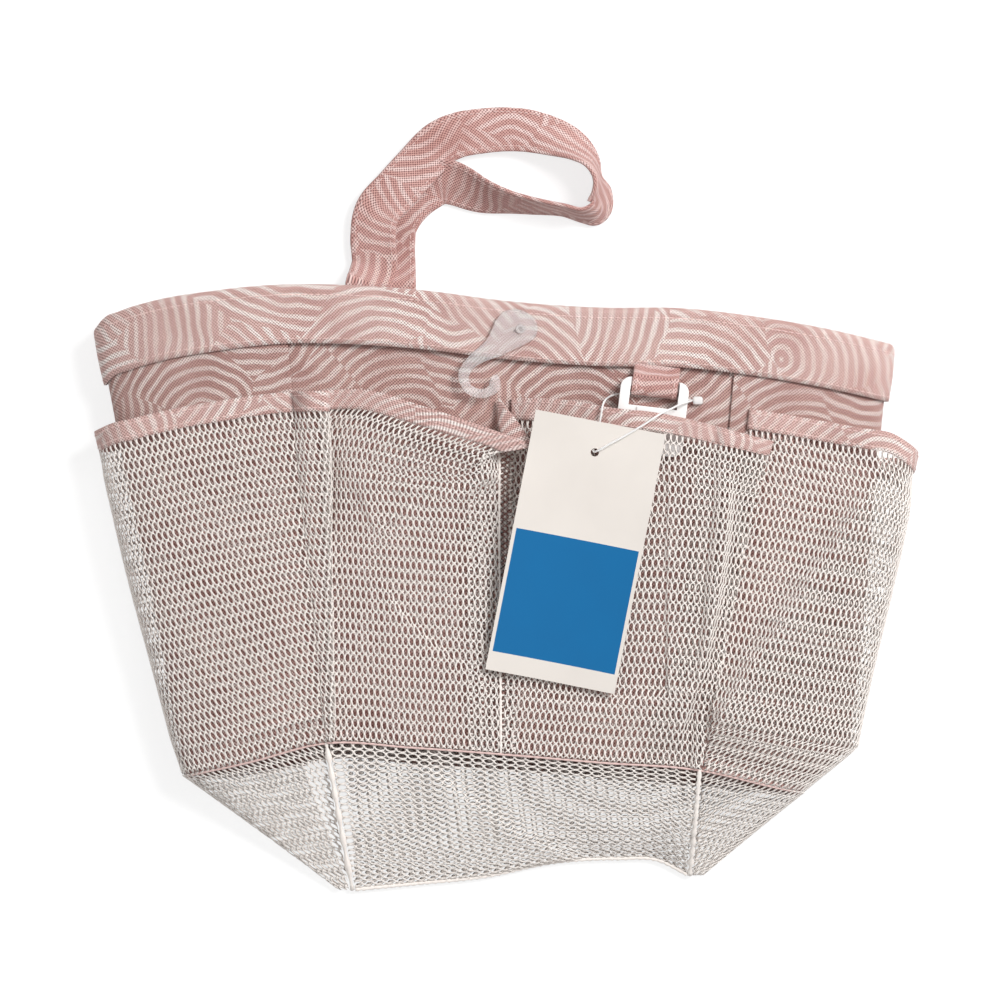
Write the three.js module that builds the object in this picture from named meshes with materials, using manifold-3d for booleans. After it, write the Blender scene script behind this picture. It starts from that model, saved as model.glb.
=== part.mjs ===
// A mesh shower caddy: a folding bag of printed cloth and open net with four outer pockets, a cloth
// handle, a buckled tab, a clear hook and a hang tag. It lies on its back, partly flattened.
// Millimetres. X runs across the bag, +Y towards its mouth and +Z up from the floor.
import * as THREE from 'three';
import { mergeVertices } from 'three/addons/utils/BufferGeometryUtils.js';
import Module from 'manifold-3d';

const wasm = await Module();
wasm.setup();

// Driving dimensions of the bag
const bagWidth = 308;
const bagLength = 236;
const bagRise = 25.4;
const cloth = 1;
const layerGap = 0.4;
const seamGap = 0.3;
const cornerLap = 4;
const bandHeight = 23.4;
const bindingWidth = 8;
const bindingThickness = 1.2;
const backDrop = 15;
const edgeRise = 7;
const basinGap = 1.2;
const basinBulge = 4;
const sagRun = 12;
const sagDepth = 3;
const foldRadius = 1.2;
const foldReach = 4;

// Driving dimensions of the pockets
const leftFlare = 2.5;
const rightFlare = 14;
const frontSwell = 1.5;
const sideSwell = 3;
const lobeLift = 11;
const mouthLift = 14;
const edgeStep = 3.1;
const edgeRun = 3;

// Driving dimensions of the handle strap
const strapWidth = 18;
const strapThickness = 1.6;
const loopAcross = 102;
const loopReach = 69;
const strapPitch = 2.4;
const rootLength = 20;
const tailLength = 26;
const handleHingeOut = 1.2;
const hingeGap = 1.1;

// Driving dimensions of the buckle
const webThickness = 1.2;
const tabLength = 13.2;
const tabLead = 3.6;
const tabTurn = -7;
const tabTuck = 1.75;
const barThickness = 3;
const barDepth = 3.4;
const runningGap = 0.4;
const socketWidth = 26.5;
const socketLength = 29;
const socketThickness = 6;
const socketLift = 1.4;
const socketRail = 3.8;
const socketCorner = 4;
const socketSlotLength = 7.4;
const cavityWidth = 18.4;
const cavityHeight = 3.6;
const cavityDepth = 13;
const raisedWidth = 12;
const raisedLength = 14.5;
const raisedHeight = 1.1;
const raisedDown = 18.5;
const raisedSink = 0.1;
const gateLength = 7.2;
const gateDown = 19.3;
const windowWidth = 4.6;
const windowLength = 2.6;
const windowInset = 2.2;
const windowApart = 7;
const tongueWidth = 4;
const tongueThickness = 2.6;
const prongLength = 12.4;
const prongWidth = 2.6;
const prongCatch = 1.4;
const prongCatchLength = 5;
const prongThickness = 3;
const plugBodyLength = 14.5;
const plugSlotLength = 7.6;
const prongRootAt = 7.6;

// Driving dimensions of the clear hook and its pin
const hookReach = 31;
const hookThickness = 2.2;
const pinRadius = 0.9;
const pinHeadRadius = 1.9;
const pinHeadHeight = 0.8;
const pinHeadFace = 1.5;

// Driving dimensions of the hang tag and its loop
const tagWidth = 51;
const tagLength = 103;
const tagThickness = 0.8;
const tagCorner = 1.2;
const tagHoleRadius = 1.4;
const tagHoleDown = 12;
const tagTurn = -11;
const tagTilt = 7;
const tagLift = 15.8;
const filamentRadius = 0.4;
const headAcross = 3.8;
const headAlong = 3.2;
const headHigh = 2.6;

const overrun = 1;

// Shares of bagWidth across and of bagLength along, seen from above
const mouthLineShares = [
  [-0.52, 0.286], [-0.513, 0.299], [-0.492, 0.312], [-0.454, 0.327], [-0.372, 0.345],
  [-0.302, 0.354], [-0.201, 0.354], [-0.099, 0.344], [-0.011, 0.329], [0.116, 0.317],
  [0.217, 0.316], [0.318, 0.301], [0.407, 0.281], [0.481, 0.259],
];
const seamLineShares = [
  [-0.407, -0.454], [-0.327, -0.43], [-0.229, -0.398], [-0.125, -0.405], [-0.011, -0.416],
  [0.116, -0.43], [0.242, -0.443], [0.344, -0.474], [0.432, -0.501],
];
const bottomLineShares = [
  [-0.198, -0.649], [-0.112, -0.638], [-0.036, -0.628], [0.065, -0.602], [0.141, -0.597],
  [0.192, -0.6], [0.23, -0.625],
];
const rearFoldShares = [[-0.213, -0.27], [0.223, -0.27]];

// Shares of bagWidth for the folds of the tube of walls, at the mouth and at the seam
const cornerShares = {
  backLeft: [-0.381, -0.258],
  leftNose: [-0.52, -0.407],
  frontLeft: [-0.286, -0.229],
  frontRight: [0.291, 0.24],
  rightNose: [0.481, 0.369],
  backRight: [0.244, 0.211],
};
const rightKinkShares = [0.9, 0.43];
const noseHeightShare = 0.42;
const noseShare = 0.42;
const noseBluntShare = 0.8;
const wallLengthShare = 0.765;

// A side strip's fold: how far its leaves reach towards it and where down the strip it is fully
// rounded, then the columns in a leaf and the rows
const foldLeafShare = 0.93;
const foldRoundShare = 0.4;
const foldSide = 7;
const foldDown = 9;

// Each row: across and along as above, then the share of the pocket's lift
const frontLeftMouthShares = [
  [-0.236, 0.18, 0], [-0.175, 0.18, 0.3], [-0.099, 0.15, 0.7], [-0.023, 0.116, 1],
  [0.015, 0.098, 1], [0.031, 0.086, 0.95], [0.017, 0.119, 0.6], [-0.001, 0.149, 0.25],
  [-0.012, 0.167, 0],
];
const frontRightMouthShares = [
  [0.004, 0.167, 0], [0.04, 0.167, 0.35], [0.084, 0.162, 0.65], [0.122, 0.152, 0.9],
  [0.179, 0.144, 1], [0.23, 0.131, 0.95], [0.28, 0.114, 0.55], [0.333, 0.097, 0.05],
];
const frontLeftFootShares = [-0.222, -0.014];
const frontRightFootShares = [-0.006, 0.232];
const leftPocketCornerShares = [-0.234, -0.222];
const leftPocketMouthShare = 0.235;
const rightPocketMouthShare = 0.255;
const lobeFadeShare = 0.35;
const frontPocketMouthShare = 0.225;
const rightPocketStartShares = [0.045, 0.014];
const flareFade = 1.5;
const liftFade = 1.3;
const strapRiseShare = 0.14;
const pocketFlareShares = [0.25, 0.5, 0.85];

// The handle's middle line as shares of loopAcross and loopReach, its tilt in degrees and its layer
const strapRouteShares = [
  [0.16, 0, 0, 0], [0.16, 0.085, 0, 0], [0.156, 0.216, 0, 0], [0.164, 0.347, 0, 0],
  [0.221, 0.483, 2, 0], [0.344, 0.575, 12, 0], [0.477, 0.54, 42, 0], [0.611, 0.483, 64, 0],
  [0.763, 0.438, 76, 0], [0.878, 0.415, 80, 0], [0.954, 0.47, 78, 0], [0.973, 0.608, 70, 0],
  [0.916, 0.761, 50, 0], [0.802, 0.852, 30, 0], [0.649, 0.892, 14, 0], [0.477, 0.869, 6, 0.4],
  [0.344, 0.818, 2, 1], [0.237, 0.722, 0, 1.6], [0.145, 0.568, 0, 2], [0.076, 0.438, 8, 1.8],
  [0.05, 0.29, 24, 1.2], [0.061, 0.131, 10, 1], [0.065, 0, 0, 1],
];
const strapLeftShare = -0.2;

// Places of the small pieces as shares of bagWidth and bagLength
const tabAtShare = 0.188;
const hookPinAtShares = [0.015, 0.281];
const tagHoleAtShares = [0.108, 0.078];
const headAtShares = [0.2386, 0.1636];
// Across, along, and height above the front as shares of tagLift
const filamentRouteShares = [
  [0.231, 0.164, 0.13], [0.231, 0.164, 0.27], [0.23, 0.163, 0.43], [0.226, 0.161, 0.58],
  [0.216, 0.157, 0.76], [0.205, 0.15, 0.94], [0.192, 0.142, 1.08], [0.169, 0.123, 1.19],
  [0.143, 0.103, 1.21], [0.123, 0.089, 1.2], [0.114, 0.082, 1.16], [0.108, 0.079, 1.09],
  [0.106, 0.08, 1.01], [0.106, 0.085, 0.94], [0.107, 0.094, 0.91], [0.112, 0.114, 0.92],
  [0.116, 0.14, 0.94], [0.118, 0.155, 0.93], [0.121, 0.163, 0.78], [0.125, 0.168, 0.49],
  [0.131, 0.172, 0.19], [0.141, 0.175, 0.04], [0.156, 0.175, 0.04], [0.175, 0.172, 0.04],
  [0.201, 0.169, 0.04], [0.221, 0.166, 0.04], [0.231, 0.164, 0.05],
];

// The hook's outline as shares of hookReach, from its pin: plate, stem, inner curve, tip and back
const hookOutlineShares = [
  [-0.415, -0.126], [-0.314, 0.1], [-0.189, 0.226], [0, 0.239], [0.151, 0.151], [0.214, 0.025],
  [0.164, -0.126], [-0.063, -0.25], [-0.25, -0.34], [-0.43, -0.4], [-0.553, -0.465],
  [-0.63, -0.553], [-0.645, -0.64], [-0.604, -0.712], [-0.503, -0.75], [-0.41, -0.725],
  [-0.377, -0.63], [-0.34, -0.58], [-0.277, -0.59], [-0.25, -0.68], [-0.277, -0.78],
  [-0.377, -0.843], [-0.503, -0.868], [-0.654, -0.818], [-0.742, -0.717], [-0.78, -0.59],
  [-0.742, -0.465], [-0.63, -0.327],
];

// Heights of the layers, counted from the tube's middle surface
const wallOffset = (cloth + layerGap) / 2;
const pocketOffset = wallOffset + cloth / 2 + layerGap + bindingThickness / 2;
const bandOffset = wallOffset * 3;
const bandFace = bandOffset + cloth / 2;
const lowZ = pocketOffset + bindingThickness / 2;
const highZ = lowZ + bagRise;
const frontFace = highZ - wallOffset + cloth / 2;
const wallLength = bagLength * wallLengthShare;
const hemShare = (bandFace + layerGap) / wallLength;

const mix = THREE.MathUtils.lerp;
const clamp = THREE.MathUtils.clamp;
const radians = THREE.MathUtils.degToRad;
const point = (x, y, z) => new THREE.Vector3(x, y, z);
const steps = (count, from = 0, to = 1) =>
  Array.from({ length: count + 1 }, (_, i) => mix(from, to, i / count));

// Height of a table's line at one place across, straight between its points
function lineAt(table, x) {
  const last = table.length - 1;
  let i = 0;
  while (i < last - 1 && x > table[i + 1][0]) i += 1;
  const [x0, y0] = table[i];
  const [x1, y1] = table[i + 1];
  return mix(y0, y1, (x - x0) / (x1 - x0));
}

// A smooth curve through a table's rows, each column by itself
function rowAt(table, t) {
  const place = clamp(t, 0, 1) * (table.length - 1);
  const i = Math.min(Math.floor(place), table.length - 2);
  const f = place - i;
  const row = (k) => table[clamp(k, 0, table.length - 1)];
  return table[0].map((_, c) => {
    const [a, b, d, e] = [row(i - 1)[c], row(i)[c], row(i + 1)[c], row(i + 2)[c]];
    const slope0 = (d - a) / 2;
    const slope1 = (e - b) / 2;
    const f2 = f * f;
    const f3 = f2 * f;
    return b * (2 * f3 - 3 * f2 + 1) + slope0 * (f3 - 2 * f2 + f)
      + d * (3 * f2 - 2 * f3) + slope1 * (f3 - f2);
  });
}

// A rise from 0 to 1 between two places
const ramp = (x, from, to) => clamp((x - from) / (to - from), 0, 1);

function foldAt(name, v) {
  const [atMouth, atSeam] = cornerShares[name];
  const [kink, kinkShare] = rightKinkShares;
  if (name !== 'rightNose') return mix(atMouth, atSeam, v);
  return v < kink
    ? mix(atMouth, kinkShare, v / kink)
    : mix(kinkShare, atSeam, (v - kink) / (1 - kink));
}

// The tube's section: s runs along one side from corner to corner, v from the mouth to the seam
function sectionAt(side, s, v) {
  const noseZ = lowZ + bagRise * noseHeightShare;
  const fold = (name) => foldAt(name, v);
  if (side === 'front') {
    return [mix(fold('frontLeft'), fold('frontRight'), s), highZ, 0];
  }
  if (side === 'back') return [mix(fold('backRight'), fold('backLeft'), s), lowZ, 1];
  const along = side === 'left' ? s : 1 - s;
  const nose = fold(side === 'left' ? 'leftNose' : 'rightNose');
  const low = fold(side === 'left' ? 'backLeft' : 'backRight');
  const high = fold(side === 'left' ? 'frontLeft' : 'frontRight');
  const isLow = along < noseShare;
  const share = isLow ? along / noseShare : (1 - along) / (1 - noseShare);
  const angle = share * Math.PI / 2;
  const height = Math.max(Math.cos(angle), 0) ** noseBluntShare;
  return [mix(isLow ? low : high, nose, Math.sin(angle)),
    noseZ + ((isLow ? lowZ : highZ) - noseZ) * height, isLow ? 1 - share : 0];
}

// A point of the tube, moved outwards by an offset
function tubeAt(side, s, v, offset) {
  const [x, z, rear] = sectionAt(side, s, v);
  const mouthY = lineAt(mouthLineShares, sectionAt(side, s, 0)[0]);
  const seamY = lineAt(seamLineShares, sectionAt(side, s, 1)[0]);
  const nudge = 1e-3;
  const [xa, za] = sectionAt(side, s - nudge, v);
  const [xb, zb] = sectionAt(side, s + nudge, v);
  const out = new THREE.Vector2(za - zb, (xb - xa) * bagWidth).normalize();
  return point(
    x * bagWidth + out.x * offset,
    mix(mouthY, seamY, v) * bagLength - backDrop * rear * v,
    z + out.y * offset,
  );
}

function place(geometry, name, colour, roughness, extra = {}) {
  const material = new THREE.MeshStandardMaterial({ color: colour, roughness, ...extra });
  const mesh = new THREE.Mesh(geometry, material);
  mesh.name = name;
  return mesh;
}

function fromTriangles(vertices, triangles) {
  const geometry = new THREE.BufferGeometry();
  const flat = vertices.flatMap((p) => [p.x, p.y, p.z]);
  geometry.setAttribute('position', new THREE.Float32BufferAttribute(flat, 3));
  const volume = triangles.reduce((sum, [a, b, c]) =>
    sum + vertices[a].dot(vertices[b].clone().cross(vertices[c])), 0);
  const faces = volume < 0 ? triangles.map(([a, b, c]) => [a, c, b]) : triangles;
  geometry.setIndex(faces.flat());
  return geometry;
}

// A sheet of even thickness around a grid of points
function thicken(rows, thickness) {
  const down = rows.length;
  const across = rows[0].length;
  const at = (i, j) => rows[clamp(i, 0, down - 1)][clamp(j, 0, across - 1)];
  const vertices = [];
  for (const half of [thickness / 2, -thickness / 2]) {
    for (let i = 0; i < down; i += 1) {
      for (let j = 0; j < across; j += 1) {
        const alongRow = at(i, j + 1).clone().sub(at(i, j - 1));
        const alongColumn = at(i + 1, j).clone().sub(at(i - 1, j));
        const normal = alongRow.cross(alongColumn).normalize();
        vertices.push(at(i, j).clone().addScaledVector(normal, half));
      }
    }
  }
  const top = (i, j) => i * across + j;
  const under = (i, j) => down * across + i * across + j;
  const triangles = [];
  const quad = (a, b, c, d) => triangles.push([a, b, c], [a, c, d]);
  for (let i = 0; i + 1 < down; i += 1) {
    for (let j = 0; j + 1 < across; j += 1) {
      quad(top(i, j), top(i + 1, j), top(i + 1, j + 1), top(i, j + 1));
      quad(under(i, j), under(i, j + 1), under(i + 1, j + 1), under(i + 1, j));
    }
    quad(top(i, 0), under(i, 0), under(i + 1, 0), top(i + 1, 0));
    quad(top(i, across - 1), top(i + 1, across - 1), under(i + 1, across - 1), under(i, across - 1));
  }
  for (let j = 0; j + 1 < across; j += 1) {
    quad(top(0, j), top(0, j + 1), under(0, j + 1), under(0, j));
    quad(top(down - 1, j), under(down - 1, j), under(down - 1, j + 1), top(down - 1, j + 1));
  }
  return fromTriangles(vertices, triangles);
}

// A ring of equal sections, closed both ways
function ring(sections) {
  const size = sections[0].length;
  const triangles = [];
  sections.forEach((_, k) => {
    const next = (k + 1) % sections.length;
    for (let m = 0; m < size; m += 1) {
      const a = k * size + m;
      const b = k * size + ((m + 1) % size);
      const c = next * size + ((m + 1) % size);
      const d = next * size + m;
      triangles.push([a, b, c], [a, c, d]);
    }
  });
  return fromTriangles(sections.flat(), triangles);
}

function toSolid(geometry) {
  const bare = geometry.clone();
  bare.deleteAttribute('normal');
  bare.deleteAttribute('uv');
  const merged = mergeVertices(bare, 1e-4);
  return new wasm.Manifold(new wasm.Mesh({
    numProp: 3,
    vertProperties: new Float32Array(merged.attributes.position.array),
    triVerts: new Uint32Array(merged.index.array),
  }));
}

function toGeometry(solid) {
  const mesh = solid.getMesh();
  const geometry = new THREE.BufferGeometry();
  geometry.setAttribute('position', new THREE.Float32BufferAttribute(mesh.vertProperties, 3));
  geometry.setIndex(Array.from(mesh.triVerts));
  return geometry;
}

const block = (width, length, height, x, y, z) =>
  toSolid(new THREE.BoxGeometry(width, length, height).translate(x, y, z));

function extruded(shape, depth, curveSegments = 5) {
  return new THREE.ExtrudeGeometry(shape, { depth, bevelEnabled: false, curveSegments });
}

function roundedShape(width, length, corner) {
  const shape = new THREE.Shape();
  const [x, y] = [width / 2, length / 2];
  shape.moveTo(corner - x, -y);
  shape.lineTo(x - corner, -y);
  shape.absarc(x - corner, corner - y, corner, -Math.PI / 2, 0);
  shape.absarc(x - corner, y - corner, corner, 0, Math.PI / 2);
  shape.absarc(corner - x, y - corner, corner, Math.PI / 2, Math.PI);
  shape.absarc(corner - x, corner - y, corner, Math.PI, Math.PI * 1.5);
  return shape;
}

// Walls of printed cloth between the mouth and the seam
const lapAt = (v) => cornerLap / ((foldAt('frontRight', v) - foldAt('frontLeft', v)) * bagWidth);

function frontLining() {
  const rows = steps(7, hemShare, 1).map((v) =>
    steps(14, -lapAt(v), 1 + lapAt(v)).map((s) => tubeAt('front', s, v, -wallOffset)));
  return thicken(rows, cloth);
}

// The back rests on the floor: inside its laps and below the band it sags flat onto it
function backSag(s, v) {
  const width = (foldAt('backRight', v) - foldAt('backLeft', v)) * bagWidth;
  const start = 2 * cornerLap / width;
  return ramp(Math.min(s, 1 - s), start, start + sagRun / width) * sagDepth;
}

// Where the even rows and columns of the back's flat middle start
const backRowShare = 0.45;
const backColumnShare = 0.28;

function backLining() {
  const bandShare = (bandHeight + edgeRise) / wallLength;
  const flatShare = bandShare + sagRun / wallLength;
  const rows = [hemShare, bandShare, flatShare, ...steps(4, backRowShare, 1)].map((v) => {
    const width = (foldAt('backRight', v) - foldAt('backLeft', v)) * bagWidth;
    const lap = cornerLap / width;
    const flat = 2 * lap + sagRun / width;
    const columns = [-lap, 0, 2 * lap, flat, ...steps(4, backColumnShare, 1 - backColumnShare),
      1 - flat, 1 - 2 * lap, 1, 1 + lap];
    return columns.map((s) => {
      const p = tubeAt('back', s, v, -wallOffset);
      p.z -= backSag(s, v) * ramp(v, bandShare, flatShare);
      return p;
    });
  });
  return thicken(rows, cloth);
}

function sideLining(side) {
  const rows = steps(7, hemShare, 1).map((v) =>
    steps(18).map((s) => tubeAt(side, s, v, wallOffset)));
  return thicken(rows, cloth);
}

// How far out the band's rounded edge bends, as a share of its half thickness
const bandRoundShare = 0.65;

// The band: one strip folded over the walls' top edges, all round the mouth
function rimBand() {
  const inner = bandFace - cloth;
  const round = bandFace * bandRoundShare;
  const profile = [
    [bandFace, bandHeight], [bandFace, bandFace], [round, bandFace - round], [0, 0],
    [-round, bandFace - round], [-bandFace, bandFace], [-bandFace, bandHeight],
    [-inner, bandHeight], [-inner, bandFace], [-inner / 2, cloth + layerGap],
    [inner / 2, cloth + layerGap], [inner, bandFace], [inner, bandHeight],
  ];
  const stations = [['left', 18], ['front', 10], ['right', 18], ['back', 8]];
  const sections = stations.flatMap(([side, count]) =>
    steps(count).slice(0, count).map((s) => profile.map(([offset, down]) =>
      tubeAt(side, s, down / wallLength, offset))));
  return ring(sections);
}

// The net basin below the seam: a front strip, folded side strips, and a bottom tucked inside
// the bag with the back strip under it
const bottomEdgeZ = cloth * 2 + layerGap;
const rearFoldZ = lowZ + bagRise * noseHeightShare;
const edgeInset = cloth * 0.8;
const tuckOffset = wallOffset + 2 * cloth + 3 * layerGap;

function edgeCorner(table, side, z) {
  const [x, y] = side === 'left' ? table[0] : table[table.length - 1];
  return point(x * bagWidth, y * bagLength, z);
}

function belowSeam(side, s, offset) {
  const p = tubeAt(side, s, 1, offset);
  p.y -= basinGap;
  return p;
}

const basinWidth = (bottomLineShares[bottomLineShares.length - 1][0] - bottomLineShares[0][0])
  * bagWidth;
const insetSteps = (count) =>
  steps(count, edgeInset / basinWidth, 1 - edgeInset / basinWidth);

function bottomEdgeAt(s, z) {
  const x = mix(bottomLineShares[0][0], bottomLineShares[bottomLineShares.length - 1][0], s);
  return point(x * bagWidth, lineAt(bottomLineShares, x) * bagLength, z);
}

function rearFoldAt(s, z) {
  return edgeCorner(rearFoldShares, 'left', z).lerp(edgeCorner(rearFoldShares, 'right', z), s);
}

function frontBasin() {
  const rows = steps(6).map((w) => insetSteps(14).map((s) => {
    const p = belowSeam('front', s, -wallOffset).lerp(bottomEdgeAt(s, bottomEdgeZ), w);
    p.z += basinBulge * Math.sin(Math.PI * w);
    return p;
  }));
  return thicken(rows, cloth);
}

function bottomNet() {
  const rows = steps(6).map((w) => insetSteps(12).map((s) => {
    const p = rearFoldAt(s, rearFoldZ + cloth + layerGap).lerp(bottomEdgeAt(s, cloth), w);
    p.z += basinBulge * Math.sin(Math.PI * w);
    return p;
  }));
  return thicken(rows, cloth);
}

function backBasin() {
  const rows = steps(4).map((w) => insetSteps(14).map((s) => {
    const low = tubeAt('back', 1 - s, 1, -wallOffset);
    low.z += cloth + 2 * layerGap - backSag(s, 1);
    return low.lerp(rearFoldAt(s, rearFoldZ), w);
  }));
  return thicken(rows, cloth);
}

// A side strip is folded along a line from the seam's outermost point to the bottom's corner: its
// upper leaf runs from the front strip to the fold and its lower leaf from the fold to the back
function sideBasin(side) {
  const sign = side === 'left' ? -1 : 1;
  const outwards = point(sign * edgeInset * 2, 0, 0);
  const nose = 1 - noseShare;
  const offsetAt = (s) => mix(wallOffset, -tuckOffset, ramp(s, nose, 1));
  const seam = (s) => belowSeam(side, side === 'left' ? 1 - s : s, offsetAt(s)).add(outwards);
  const bottom = edgeCorner(bottomLineShares, side, bottomEdgeZ).add(outwards);
  const foldEnd = bottom.clone().add(point(sign * foldReach, 0, 0));
  const leafColumns = steps(foldSide, 0, foldLeafShare);
  const columns = [...leafColumns.map((k) => [nose * k, k, 1]), [nose, 1, 0],
    ...leafColumns.slice().reverse().map((k) => [mix(1, nose, k), k, -1])];
  const rows = steps(foldDown).map((w) => columns.map(([s, k, leaf]) => {
    const edge = seam(leaf < 0 ? 1 : 0);
    const straight = edge.clone().lerp(seam(nose), k);
    const p = edge.lerp(bottom, w).lerp(seam(nose).lerp(foldEnd, w), k);
    p.addScaledVector(seam(s).sub(straight), (1 - w) * (1 - w));
    p.z += leaf * foldRadius * ramp(w, 0, foldRoundShare);
    return p;
  }));
  return thicken(soften(rows, 2), cloth);
}

// How much of its own place a point keeps when a fold is rounded
const keptShare = 0.4;

// Rounds a grid's folds and keeps its edges
function soften(rows, times) {
  let grid = rows;
  for (let k = 0; k < times; k += 1) {
    grid = grid.map((row, i) => row.map((p, j) => {
      if (i === 0 || j === 0 || i === grid.length - 1 || j === row.length - 1) return p;
      return point(0, 0, 0).add(grid[i - 1][j]).add(grid[i + 1][j]).add(row[j - 1]).add(row[j + 1])
        .multiplyScalar(1 / 4).lerp(p, keptShare);
    }));
  }
  return grid;
}

// Pockets: each is a net sheet and, along its mouth, a cloth binding in the same surface
const bindingShare = bindingWidth / wallLength;
const gapShare = seamGap / wallLength;

function sidePocketAt(side, s, v) {
  const isLeft = side === 'left';
  const mouthShare = isLeft ? leftPocketMouthShare : rightPocketMouthShare;
  const w = ramp(v, mouthShare, 1);
  if (isLeft && s > 1) {
    const [atMouth, atSeam] = leftPocketCornerShares;
    const reach = mix(atMouth, atSeam, w) - foldAt('frontLeft', v);
    const across = (s - 1) * reach / (foldAt('frontRight', v) - foldAt('frontLeft', v));
    return tubeAt('front', across, v, pocketOffset);
  }
  const along = isLeft ? s : 1 - s;
  const [start, peak, end] = pocketFlareShares;
  const bump = THREE.MathUtils.smoothstep(along, start, peak)
    * (1 - THREE.MathUtils.smoothstep(along, peak, end));
  const flare = (isLeft ? leftFlare : rightFlare) * bump * (1 - w) ** flareFade;
  const swell = sideSwell * Math.sin(Math.PI * ramp(along, start, 1)) * Math.sin(Math.PI * w);
  return tubeAt(side, s, v, pocketOffset + flare + swell);
}

function sidePocket(side, vFrom, vTo, down, thickness) {
  const rows = steps(down, vFrom, vTo).map((v) => {
    const w = ramp(v, rightPocketMouthShare, 1);
    const columns = side === 'left'
      ? [...steps(20), ...steps(3, 1, 2).slice(1)]
      : steps(22, mix(rightPocketStartShares[0], rightPocketStartShares[1], w), 1);
    return columns.map((s) => sidePocketAt(side, s, v));
  });
  return thicken(rows, thickness);
}

function frontPocketAt(pocket, s, w) {
  const { mouth, foot, lift } = pocket;
  const [mx, my, mz] = rowAt(mouth, s);
  const x0 = mix(mouth[0][0], mouth[mouth.length - 1][0], s);
  const x = mix(x0, mix(foot[0], foot[1], s), w);
  const v = mix(frontPocketMouthShare, 1, w);
  const left = foldAt('frontLeft', v);
  const right = foldAt('frontRight', v);
  const edge = right * bagWidth - edgeRun / 3;
  const step = edgeStep * ramp(x * bagWidth, edge - edgeRun, edge);
  const swell = frontSwell * Math.sin(Math.PI * s) * Math.sin(Math.PI * w);
  const height = mz * lift * (1 - w) ** liftFade;
  const p = tubeAt('front', (x - left) / (right - left), v, wallOffset + step + swell + height);
  const base = tubeAt('front', (x0 - foldAt('frontLeft', frontPocketMouthShare))
    / (foldAt('frontRight', frontPocketMouthShare) - foldAt('frontLeft', frontPocketMouthShare)),
  frontPocketMouthShare, 0);
  const fade = (1 - ramp(w, 0, lobeFadeShare)) ** 2;
  p.x += (mx * bagWidth - base.x) * fade;
  p.y += (my * bagLength - base.y) * fade;
  return p;
}

const frontLeftPocket = {
  mouth: frontLeftMouthShares, foot: frontLeftFootShares, lift: lobeLift,
};
const frontRightPocket = {
  mouth: frontRightMouthShares, foot: frontRightFootShares, lift: mouthLift,
};
const pocketLength = wallLength * (1 - frontPocketMouthShare);

// Rows lie closer together near the mouth
const rowCrowding = 1.5;

function frontPocket(pocket, wFrom, wTo, down, thickness) {
  const rows = steps(down).map((k) => mix(wFrom, wTo, k ** rowCrowding)).map((w) =>
    steps(18).map((s) => frontPocketAt(pocket, s, w)));
  return thicken(rows, thickness);
}

// The handle: a flat strap on a route over the floor, tilted where it stands on its edge
const mouthTopY = mouthLineShares[6][1] * bagLength;
const hingeY = mouthTopY + handleHingeOut;
const strapLeftX = strapLeftShare * bagWidth;
const strapRise = lowZ + bandFace + layerGap + webThickness / 2 - strapThickness / 2;
const onStrap = (share) => strapLeftX + share * loopAcross;

function strapAt(t) {
  const [across, along, tilt, level] = rowAt(strapRouteShares, t);
  const rise = strapRise * (1 - ramp(along, 0, strapRiseShare)) ** 2;
  const flat = strapThickness / 2 + Math.max(level, 0) * strapPitch + rise;
  return {
    centre: point(onStrap(across), hingeY + along * loopReach,
      flat + strapWidth / 2 * Math.sin(radians(Math.max(tilt, 0)))),
    tilt: radians(tilt),
  };
}

function handleStrap() {
  const count = strapRouteShares.length * 3;
  const rows = steps(count).map((t) => {
    const { centre, tilt } = strapAt(t);
    const ahead = strapAt(Math.min(t + 1 / count, 1)).centre;
    const behind = strapAt(Math.max(t - 1 / count, 0)).centre;
    const heading = ahead.sub(behind).setZ(0).normalize();
    const isEnd = t === 0 || t === 1;
    const left = isEnd ? point(-Math.sign(heading.y), 0, 0) : point(-heading.y, heading.x, 0);
    const across = left.multiplyScalar(Math.cos(tilt)).add(point(0, 0, Math.sin(tilt)));
    return steps(2, -0.5, 0.5).map((k) => centre.clone().addScaledVector(across, k * strapWidth));
  });
  return thicken(rows, strapThickness);
}

// A web sewn into a loop: a short single lead, then two layers with room for a bar between them
function webLoop(lead, length) {
  const high = barThickness + 2 * runningGap + 2 * webThickness;
  const radius = high / 2;
  const bend = length - radius;
  const outer = new THREE.Shape();
  outer.moveTo(0, 0);
  outer.lineTo(bend, 0);
  outer.absarc(bend, radius, radius, -Math.PI / 2, Math.PI / 2);
  outer.lineTo(lead + webThickness, high);
  outer.lineTo(lead, webThickness);
  outer.lineTo(0, webThickness);
  const inner = new THREE.Shape();
  inner.moveTo(lead + webThickness, webThickness);
  inner.lineTo(bend, webThickness);
  inner.absarc(bend, radius, radius - webThickness, -Math.PI / 2, Math.PI / 2);
  inner.lineTo(lead + 2 * webThickness, high - webThickness);
  const web = toSolid(extruded(outer, strapWidth))
    .subtract(toSolid(extruded(inner, strapWidth + 2 * overrun).translate(0, 0, -overrun)));
  const turn = new THREE.Matrix4()
    .makeBasis(point(0, -1, 0), point(0, 0, 1), point(-1, 0, 0));
  return toGeometry(web).applyMatrix4(turn).translate(strapWidth / 2, 0, 0);
}

const barAt = (lead) => lead + 2 * webThickness + runningGap;
const barRise = webThickness + runningGap;

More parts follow.
